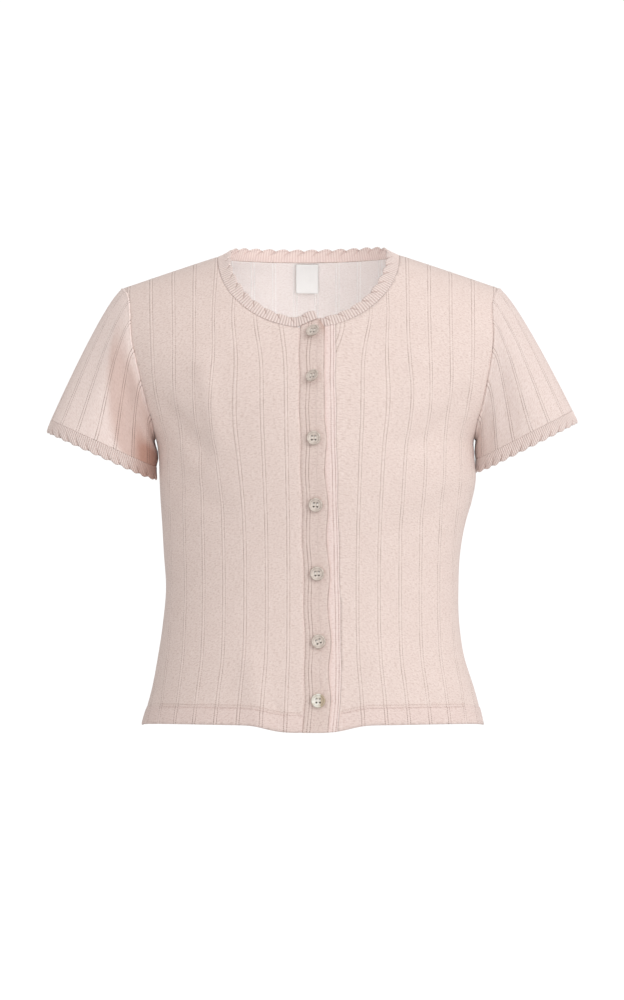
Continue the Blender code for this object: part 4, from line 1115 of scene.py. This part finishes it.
def trim(name, seam, across, out, closed, scallops, node):
    """Edging along a seam line, with the ways across it and out of its face at each place."""
    if closed:
        seam, across, out = (np.vstack((rows, rows[:1])) for rows in (seam, across, out))
    lengths = running_lengths(seam)
    total = lengths[-1]
    count = int(total / (0.46))
    places = np.linspace(0, total, count, endpoint=not closed)

    def at(rows):
        return np.stack([np.interp(places, lengths, rows[:, k]) for k in range(3)], axis=1)

    seam, across, out = at(seam), unit(at(across)), unit(at(out))
    phase = np.repeat(places / total * scallops, len(TRIM_ROWS))
    share = np.tile(TRIM_ROWS, count)
    seam, across, out = (np.repeat(rows, len(TRIM_ROWS), axis=0) for rows in (seam, across, out))
    lobe = np.abs(np.sin(math.pi * (phase % 1) ** SCALLOP_LEAN)) ** SCALLOP_ROUND
    narrowing = 0 if closed else FRONT_NARROWING * at_front(seam[:, 1])
    width = TRIM_WIDTH - narrowing + (SCALLOP_DEPTH - narrowing) * lobe
    down = width * (1 - share)
    away = (phase + LOBE_SLANT * down) % 1
    away = np.minimum(away, 1 - away) * total / scallops
    edging = smooth_step((EDGING_DEPTH - down) / EDGING_EASE)
    rise = TRIM_RIB_RISE * np.sin(2 * math.pi * phase * LOBE / TRIM_RIB) * (1 - 0.5 * edging)
    rise += edging * (LOBE_RISE - CREASE_DEPTH * np.exp(-(away / CREASE_REACH) ** 2))
    rise -= SEAM_DIP * np.exp(-(share / SEAM_DIP_SHARE) ** 2)
    rise -= EDGE_ROUND * smooth_step((share - EDGE_ROUND_FROM) / (1 - EDGE_ROUND_FROM))
    points = seam + across * (TRIM_GAP + width * share)[:, None] + out * rise[:, None]
    uvs = np.stack((phase * LOBE, -down), axis=1) / 100
    faces = tube_faces(count, len(TRIM_ROWS), closed, False)
    middle = count // 2 * len(TRIM_ROWS) + 4
    a, b, c = points[[middle, middle + 1, middle + len(TRIM_ROWS)]]
    if np.dot(np.cross(b - a, c - a), out[middle]) < 0:
        faces = [tuple(reversed(f)) for f in faces]
    piece = make_mesh(name, points, faces, uvs, (trim_knit, trim_inside))
    add_wall(piece, TRIM_WALL, 1)
    stand_for(piece, node)
    return piece


def neck_line(face, start, end, count=240):
    """The neck seam from turn to turn, 0 at the wearer's left, and the outward ways along it."""
    x = NECK_MIDDLE + NECK_HALF_WIDTH * np.cos(np.linspace(start, end, count))
    z = neck_height(face, x)
    return body_surface(face, length_at(face, x, z), z)


def neck_turn(x):
    return math.acos((x - NECK_MIDDLE) / NECK_HALF_WIDTH)


UP = np.array((0, 0, 1.0))
RIGHT_END, LEFT_END = 6.0, -2.0
# the right end lies out over the left one, which is tucked in behind it
LIE_OUT, LIE_OUT_FROM, LIE_OUT_OVER = 1.0, -16, 6
TUCK_IN, TUCK_IN_TO, TUCK_IN_OVER = 1.6, 8, 10
# the trim stands up round the back of the neck, and tips back a little on the chest
BACK_LIFT, LIFT_FROM, LIFT_OVER, FRONT_TIP, TIPPED_GAP, AIM_HEIGHT = 0.6, -10, 55, 0.3, 0.2, 40.0

right_line, right_out = neck_line(FRONT, neck_turn(RIGHT_END), math.pi)
back_seam, back_out = neck_line(BACK, math.pi, 0)
left_line, left_out = neck_line(FRONT, 0, neck_turn(LEFT_END))
right_line = right_line + UP * raised_corner(np.minimum(right_line[:, :1], TRIM_END_FALL[0]))
right_line = right_line + right_out * LIE_OUT * smooth_step((right_line[:, :1] - LIE_OUT_FROM) / LIE_OUT_OVER)
left_line = left_line - left_out * TUCK_IN * (1 - smooth_step((left_line[:, :1] - TUCK_IN_TO) / TUCK_IN_OVER))
neck_seam = np.vstack((right_line[:-1], back_seam[:-1], left_line))
neck_out = np.vstack((right_out[:-1], back_out[:-1], left_out))
lengths = running_lengths(neck_seam)
even = np.linspace(0, lengths[-1], 400)
neck_seam = np.stack([np.interp(even, lengths, neck_seam[:, k]) for k in range(3)], axis=1)
neck_out = unit(np.stack([np.interp(even, lengths, neck_out[:, k]) for k in range(3)], axis=1))
reach = 8
kernel = np.hanning(2 * reach + 1) / np.hanning(2 * reach + 1).sum()
padded = np.pad(neck_out, ((reach, reach), (0, 0)), mode="edge")
neck_out = unit(np.stack([np.convolve(padded[:, k], kernel, mode="valid") for k in range(3)], axis=1))
padded = np.pad(neck_seam, ((reach, reach), (0, 0)), mode="reflect", reflect_type="odd")
neck_along = unit(padded[2 * reach:] - padded[:-2 * reach])
flat = unit(np.cross(neck_along, neck_out))
to_middle = np.array((NECK_MIDDLE, 0, AIM_HEIGHT)) - neck_seam * (1, 1, 0)
flat *= np.sign(np.sum(flat * to_middle, axis=1))[:, None]
lift = BACK_LIFT * smooth_step((neck_seam[:, 1:2] - LIFT_FROM) / LIFT_OVER)
tipped = at_front(neck_seam[:, 1:2])
neck_across = flat * (1 - lift) + UP * lift + np.array((0, FRONT_TIP, 0)) * tipped
neck_across = unit(neck_across - neck_along * np.sum(neck_across * neck_along, axis=1)[:, None])
neck_face = unit(np.cross(neck_across, neck_along))
neck_face *= np.sign(np.sum(neck_face * neck_out, axis=1))[:, None]
trim("neck_edging", neck_seam + neck_across * TIPPED_GAP * tipped, neck_across, neck_face, False,
     NECK_SCALLOPS, "neck_trim")

for name, (side, point_at, normal_at, lean) in sleeve_shapes.items():
    u = np.linspace(0, 2, 361)[:-1]
    v = np.ones(len(u))
    out_ways = normal_at(u, v)
    seam = point_at(u, v) + out_ways * sleeve_fold(side, u, v)[:, None]
    slant = lean * (1 - smooth_step((np.minimum(u, 2 - u) - TRIM_PLUMB_FROM) / (1 - TRIM_PLUMB_FROM)))
    across_way = np.stack((side * slant, np.zeros(len(u)), -np.sqrt(1 - slant**2)), axis=1)
    piece = trim("cuff_edging_" + name, seam, across_way, out_ways, True, CUFF_SCALLOPS, "cuff_trim_" + name)
    if side == RIGHT:
        # painted shade on the cuff edging where it turns in under the arm
        u = np.linspace(0, 2, len(piece.data.vertices) // len(TRIM_ROWS), endpoint=False)
        deep = smooth_step((np.minimum(u, 2 - u) - 0.66) / 0.22)
        add_shade(piece, np.repeat(DEEP_SHADE_SHARE * deep, len(TRIM_ROWS)))

# ---------------------------------------------------------------- Buttons
# Seven four-hole buttons in mottled horn, dished inside a raised rim and sewn on with cream thread.
# The lowest is a paler, pearly one. They stay done up, and the top two lean where the band sags.

# from the top: lean about the slanting axis and turn of the holes, in degrees
BUTTON_TILTS = ((30, 0), (36, 4), (9, 0), (4, -3), (5, 2), (6, 20), (4, 0))
BUTTON_PROFILE = ((0, 0.35), (5.6, 0.35), (6.6, 0.55), (7.1, 1.0), (7.25, 1.5), (7.1, 2.0), (6.7, 2.4),
                  (6.2, 2.5), (5.8, 2.4), (5.4, 2.05), (4.9, 1.75), (4.0, 1.6), (2.0, 1.5), (0, 1.48))
BUTTON_RADIUS, BUTTON_CLEARANCE, BAND_TOP, BUTTON_SIDES = 7.3, 0.5, 0.84, 48
HOLE_PLACE, HOLE_RADIUS, HOLE_SIDES, HOLE_DEPTH, DISH_EDGE = 1.75, 0.95, 20, 8, 5.3
THREAD_RADIUS, FILLING_RADIUS = 0.33, 0.9
LEAN_AXIS = Vector((-0.5, 0, -0.866))


def horn_material(name, light, dark, veins, roughness, patch=None):
    material, tree, shader = new_material(
        name, {"Roughness": roughness, "Coat Weight": 0.3, "Coat Roughness": 0.25})
    place = tree.nodes.new("ShaderNodeTexCoord").outputs["Object"]
    mottle = noise_node(tree, stretched(tree, place, (1, 1.6, 1)), 260.0, 4.0, 0.6)
    streaks = noise_node(tree, stretched(tree, place, (0.5, 3.0, 1)), 420.0, 3.0)
    color = mix_node(tree, range_node(tree, mottle, 0.38, 0.66), light, dark)
    color = mix_node(tree, range_node(tree, streaks, 0.52, 0.72, 0.0, 0.6), color, veins)
    x, y, _ = separated(tree, place)
    if patch:
        edge = math_node(tree, "MULTIPLY_ADD", streaks, 0.004, x)
        color = mix_node(tree, range_node(tree, edge, 0.0035, 0.0050), color, patch)
    # painted shade: darker in the groove round the dish and over the rim
    square = math_node(tree, "MULTIPLY_ADD", x, x, math_node(tree, "MULTIPLY", y, y))
    radius = math_node(tree, "MULTIPLY", math_node(tree, "SQRT", square), 1 / MM)
    groove = math_node(tree, "ABSOLUTE", math_node(tree, "SUBTRACT", radius, DISH_EDGE))
    color = mix_node(tree, range_node(tree, groove, 0.1, 0.7, 0.35, 0.0), color, dark, "MULTIPLY")
    color = mix_node(tree, range_node(tree, radius, 6.4, 7.2, 0.0, 0.45), color, dark, "MULTIPLY")
    wire(tree, color, shader.inputs["Base Color"])
    add_relief(tree, shader, streaks, 0.00003)
    return material


horn = horn_material("mottled horn", (0.680, 0.600, 0.535), (0.520, 0.435, 0.380),
                     (0.790, 0.725, 0.665), 0.42)
pearl = horn_material("pearly shell", (0.800, 0.780, 0.720), (0.620, 0.560, 0.460),
                      (0.880, 0.870, 0.840), 0.22, (0.480, 0.380, 0.270))
hole_shade = thread_material("shade in the button holes", (0.090, 0.070, 0.060), (0.130, 0.100, 0.085))
cream_thread = thread_material("cream thread", (0.820, 0.760, 0.690), (0.960, 0.920, 0.870))


def lathe(name, profile, sides, material):
    bm = bmesh.new()
    verts = [bm.verts.new(Vector((r, 0, z)) * MM) for r, z in profile]
    edges = [bm.edges.new(pair) for pair in zip(verts, verts[1:])]
    bmesh.ops.spin(bm, geom=verts + edges, axis=(0, 0, 1), cent=(0, 0, 0), steps=sides,
                   angle=2 * math.pi, use_merge=True)
    bmesh.ops.remove_doubles(bm, verts=bm.verts, dist=0.000001)
    bmesh.ops.recalc_face_normals(bm, faces=bm.faces)
    mesh = bpy.data.meshes.new(name)
    bm.to_mesh(mesh)
    bm.free()
    mesh.materials.append(material)
    return add_object(name, mesh)


def drilled(blank):
    """Mesh of a blank with its four holes, whose walls take the second material, their painted shade."""
    bm = bmesh.new()
    for x, y in HOLES:
        bmesh.ops.create_cone(bm, cap_ends=True, segments=HOLE_SIDES, radius1=HOLE_RADIUS * MM,
                              radius2=HOLE_RADIUS * MM, depth=HOLE_DEPTH * MM,
                              matrix=Matrix.Translation(Vector((x, y, 1)) * MM))
    mesh = bpy.data.meshes.new("drill")
    bm.to_mesh(mesh)
    bm.free()
    mesh.polygons.foreach_set("material_index", np.ones(len(mesh.polygons), int))
    mesh.materials.append(None)
    mesh.materials.append(hole_shade)
    drill = add_object("drill", mesh)
    cut = blank.modifiers.new("holes", "BOOLEAN")
    cut.operation, cut.solver, cut.object = "DIFFERENCE", "EXACT", drill
    bpy.context.view_layer.update()
    made = bpy.data.meshes.new_from_object(blank.evaluated_get(bpy.context.evaluated_depsgraph_get()))
    bpy.data.objects.remove(drill)
    bpy.data.objects.remove(blank)
    made.shade_smooth()
    made.set_sharp_from_angle(angle=math.radians(50))
    return made


HOLES = [(x, y) for x in (-HOLE_PLACE, HOLE_PLACE) for y in (-HOLE_PLACE, HOLE_PLACE)]
button_mesh = drilled(lathe("blank", BUTTON_PROFILE, BUTTON_SIDES, horn))
# two upright stitches, each from an upper hole to the near rim of the one below it
stitch = np.array(((0, 1.9, 0.5), (0, 1.8, 1.3), (0, 1.3, 1.75), (0, 0.5, 1.85), (0, -0.4, 1.8),
                   (0, -0.95, 1.5), (0, -1.15, 0.8)))
strands = [stitch + np.array((x, 0, 0)) for x in (-HOLE_PLACE, HOLE_PLACE)]
# the thread that fills each hole, near black as painted shade
through = [np.array(((x, y, -0.2), (x, y, 0.3), (x, y, 0.75))) for x, y in HOLES]
for number, (z, (lean, turn)) in enumerate(zip(reversed(BUTTON_HEIGHTS), BUTTON_TILTS), 1):
    height = np.array([z])
    s = band_line(height)
    (base,), (normal,) = body_surface(FRONT, s, height)
    clear = np.array((0, -BUTTON_CLEARANCE - BUTTON_RADIUS * math.sin(math.radians(lean)), 0))
    spot = Vector(base + normal * (BAND_TOP + fold_rise(FRONT, s, height)[0]) + clear) * MM
    face_on = Vector(normal).to_track_quat("Z", "Y").to_matrix().to_4x4()
    frame_of = (Matrix.Translation(spot) @ Matrix.Rotation(math.radians(lean), 4, LEAN_AXIS) @ face_on
                @ Matrix.Rotation(math.radians(turn), 4, "Z"))
    mesh = button_mesh.copy()
    if z == min(BUTTON_HEIGHTS):
        mesh.materials[0] = pearl
    button = add_object(f"button_{number}_horn", mesh)
    stitches = threads(f"button_{number}_thread", strands, THREAD_RADIUS, (1, 0, 0), cream_thread)
    filling = threads(f"button_{number}_thread_below", through, FILLING_RADIUS, (1, 0, 0), hole_shade, 12)
    for piece in (button, stitches, filling):
        piece.matrix_world = frame_of
        bpy.context.view_layer.update()
    stand_for(button, f"button_{number}")
    for piece in (stitches, filling):
        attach(piece, "root")

# ---------------------------------------------------------------- Neck label
# A bare woven satin label, folded at the top and caught in the back neck seam, hanging free
# against the inside of the back.

label_material, tree, shader = new_material("white satin label", {"Roughness": 0.45})
weave = tree.nodes.new("ShaderNodeTexWave")
weave.inputs["Scale"].default_value = 2.2
weave.inputs["Distortion"].default_value = 0.6
wire(tree, stretched(tree, cloth_map(tree), (1, 12, 1)), weave.inputs["Vector"])
satin = mix_node(tree, weave.outputs["Fac"], (0.78, 0.775, 0.765), (0.83, 0.825, 0.815))
wire(tree, satin, shader.inputs["Base Color"])
add_relief(tree, shader, weave.outputs["Fac"], 0.00005)

LABEL_MIDDLE, LABEL_WIDTH, LABEL_TOP, LABEL_HEIGHT, LABEL_WALL = -5.3, 24.4, -2.0, 29.5, 0.5
LABEL_OFF, LABEL_SWING, LABEL_WAVE, LABEL_WAVE_LENGTH = 3.2, 1.6, 0.5, 7
x_line = np.linspace(-0.5, 0.5, 25) * LABEL_WIDTH + LABEL_MIDDLE
z_line = np.linspace(LABEL_TOP - LABEL_HEIGHT, LABEL_TOP, 33)
x, z = np.repeat(x_line, len(z_line)), np.tile(z_line, len(x_line))
points, normals = body_surface(BACK, length_at(BACK, x, z), z)
drop_share = (LABEL_TOP - z) / LABEL_HEIGHT
wave = LABEL_WAVE * np.sin((x - LABEL_MIDDLE) / LABEL_WAVE_LENGTH)
off_back = LABEL_OFF + LABEL_SWING * drop_share**2 + wave * drop_share
faces = tube_faces(len(x_line), len(z_line), False, False)
piece = make_mesh("neck_label_satin", points - normals * off_back[:, None], faces,
                  np.stack((x / 10, z / 10), axis=1), (label_material,))
add_wall(piece, LABEL_WALL)
stand_for(piece, "neck_label")

# ---------------------------------------------------------------- Studio
# A pale floor well below the garment, a white surround, and soft light that comes mostly from the
# wearer's left. The camera is level and 3.2 m in front.

FLOOR_HALF, FLOOR_HEIGHT = 4, -0.9
# radiance of the surround, and how it grows towards the wearer's left and the front
SURROUND_LEVEL, SURROUND_LEAN = 0.74, (0.20, -0.40, 0.05)
CAMERA_DISTANCE, CAMERA_HEIGHT, VIEW_HEIGHT, SENSOR_HEIGHT = 3.2, -0.2538, 1.04, 36

floor_mesh = bpy.data.meshes.new("floor")
corners = [(x * FLOOR_HALF, y * FLOOR_HALF, FLOOR_HEIGHT) for x, y in ((-1, -1), (1, -1), (1, 1), (-1, 1))]
floor_mesh.from_pydata(corners, [], [(0, 1, 2, 3)])
floor_material, tree, shader = new_material(
    "white floor", {"Base Color": (0.85, 0.85, 0.85, 1), "Roughness": 0.9, "Emission Strength": 0.8})
seen = tree.nodes.new("ShaderNodeLightPath").outputs["Is Camera Ray"]
tree.links.new(mix_node(tree, seen, (0, 0, 0), (1, 1, 1)), shader.inputs["Emission Color"])
floor_mesh.materials.append(floor_material)
add_object("floor", floor_mesh)

world = bpy.data.worlds.new("studio")
bpy.context.scene.world = world
world.use_nodes = True
tree = world.node_tree
background = tree.nodes["Background"]
lit = tree.nodes.new("ShaderNodeBackground")
lit.inputs["Color"].default_value = (1, 1, 1, 1)
lit.inputs["Strength"].default_value = 1.05
background.inputs["Color"].default_value = (1.0, 0.99, 0.98, 1)
aim = tree.nodes.new("ShaderNodeVectorMath")
aim.operation = "DOT_PRODUCT"
aim.inputs[1].default_value = SURROUND_LEAN
tree.links.new(tree.nodes.new("ShaderNodeTexCoord").outputs["Generated"], aim.inputs[0])
wire(tree, math_node(tree, "ADD", aim.outputs["Value"], SURROUND_LEVEL), background.inputs["Strength"])
path = tree.nodes.new("ShaderNodeLightPath")
mixed = tree.nodes.new("ShaderNodeMixShader")
tree.links.new(path.outputs["Is Camera Ray"], mixed.inputs[0])
tree.links.new(background.outputs[0], mixed.inputs[1])
tree.links.new(lit.outputs[0], mixed.inputs[2])
tree.links.new(mixed.outputs[0], tree.nodes["World Output"].inputs["Surface"])


def softbox(name, place, target, size, power, color=(1, 1, 1)):
    light = bpy.data.lights.new(name, "AREA")
    light.shape = "DISK"
    light.size = size
    light.energy = power
    light.color = color
    made = add_object(name, light)
    made.location = place
    made.rotation_euler = (Vector(target) - Vector(place)).to_track_quat("-Z", "Y").to_euler()


softbox("key light", (2.1, -2.3, 0.9), (0, 0, -0.2), 1.2, 22, (0.97, 0.985, 1.0))
softbox("inside light", (-0.004, -0.03, -0.11), (-0.004, 0.085, -0.02), 0.12, 0.10)

camera_data = bpy.data.cameras.new("camera")
camera_data.sensor_fit = "VERTICAL"
camera_data.sensor_height = SENSOR_HEIGHT
camera_data.lens = SENSOR_HEIGHT * CAMERA_DISTANCE / VIEW_HEIGHT
camera = add_object("camera", camera_data)
camera.location = (0, -CAMERA_DISTANCE, CAMERA_HEIGHT)
camera.rotation_euler = (math.pi / 2, 0, 0)
bpy.context.scene.camera = camera
bpy.context.scene.view_settings.view_transform = "Standard"
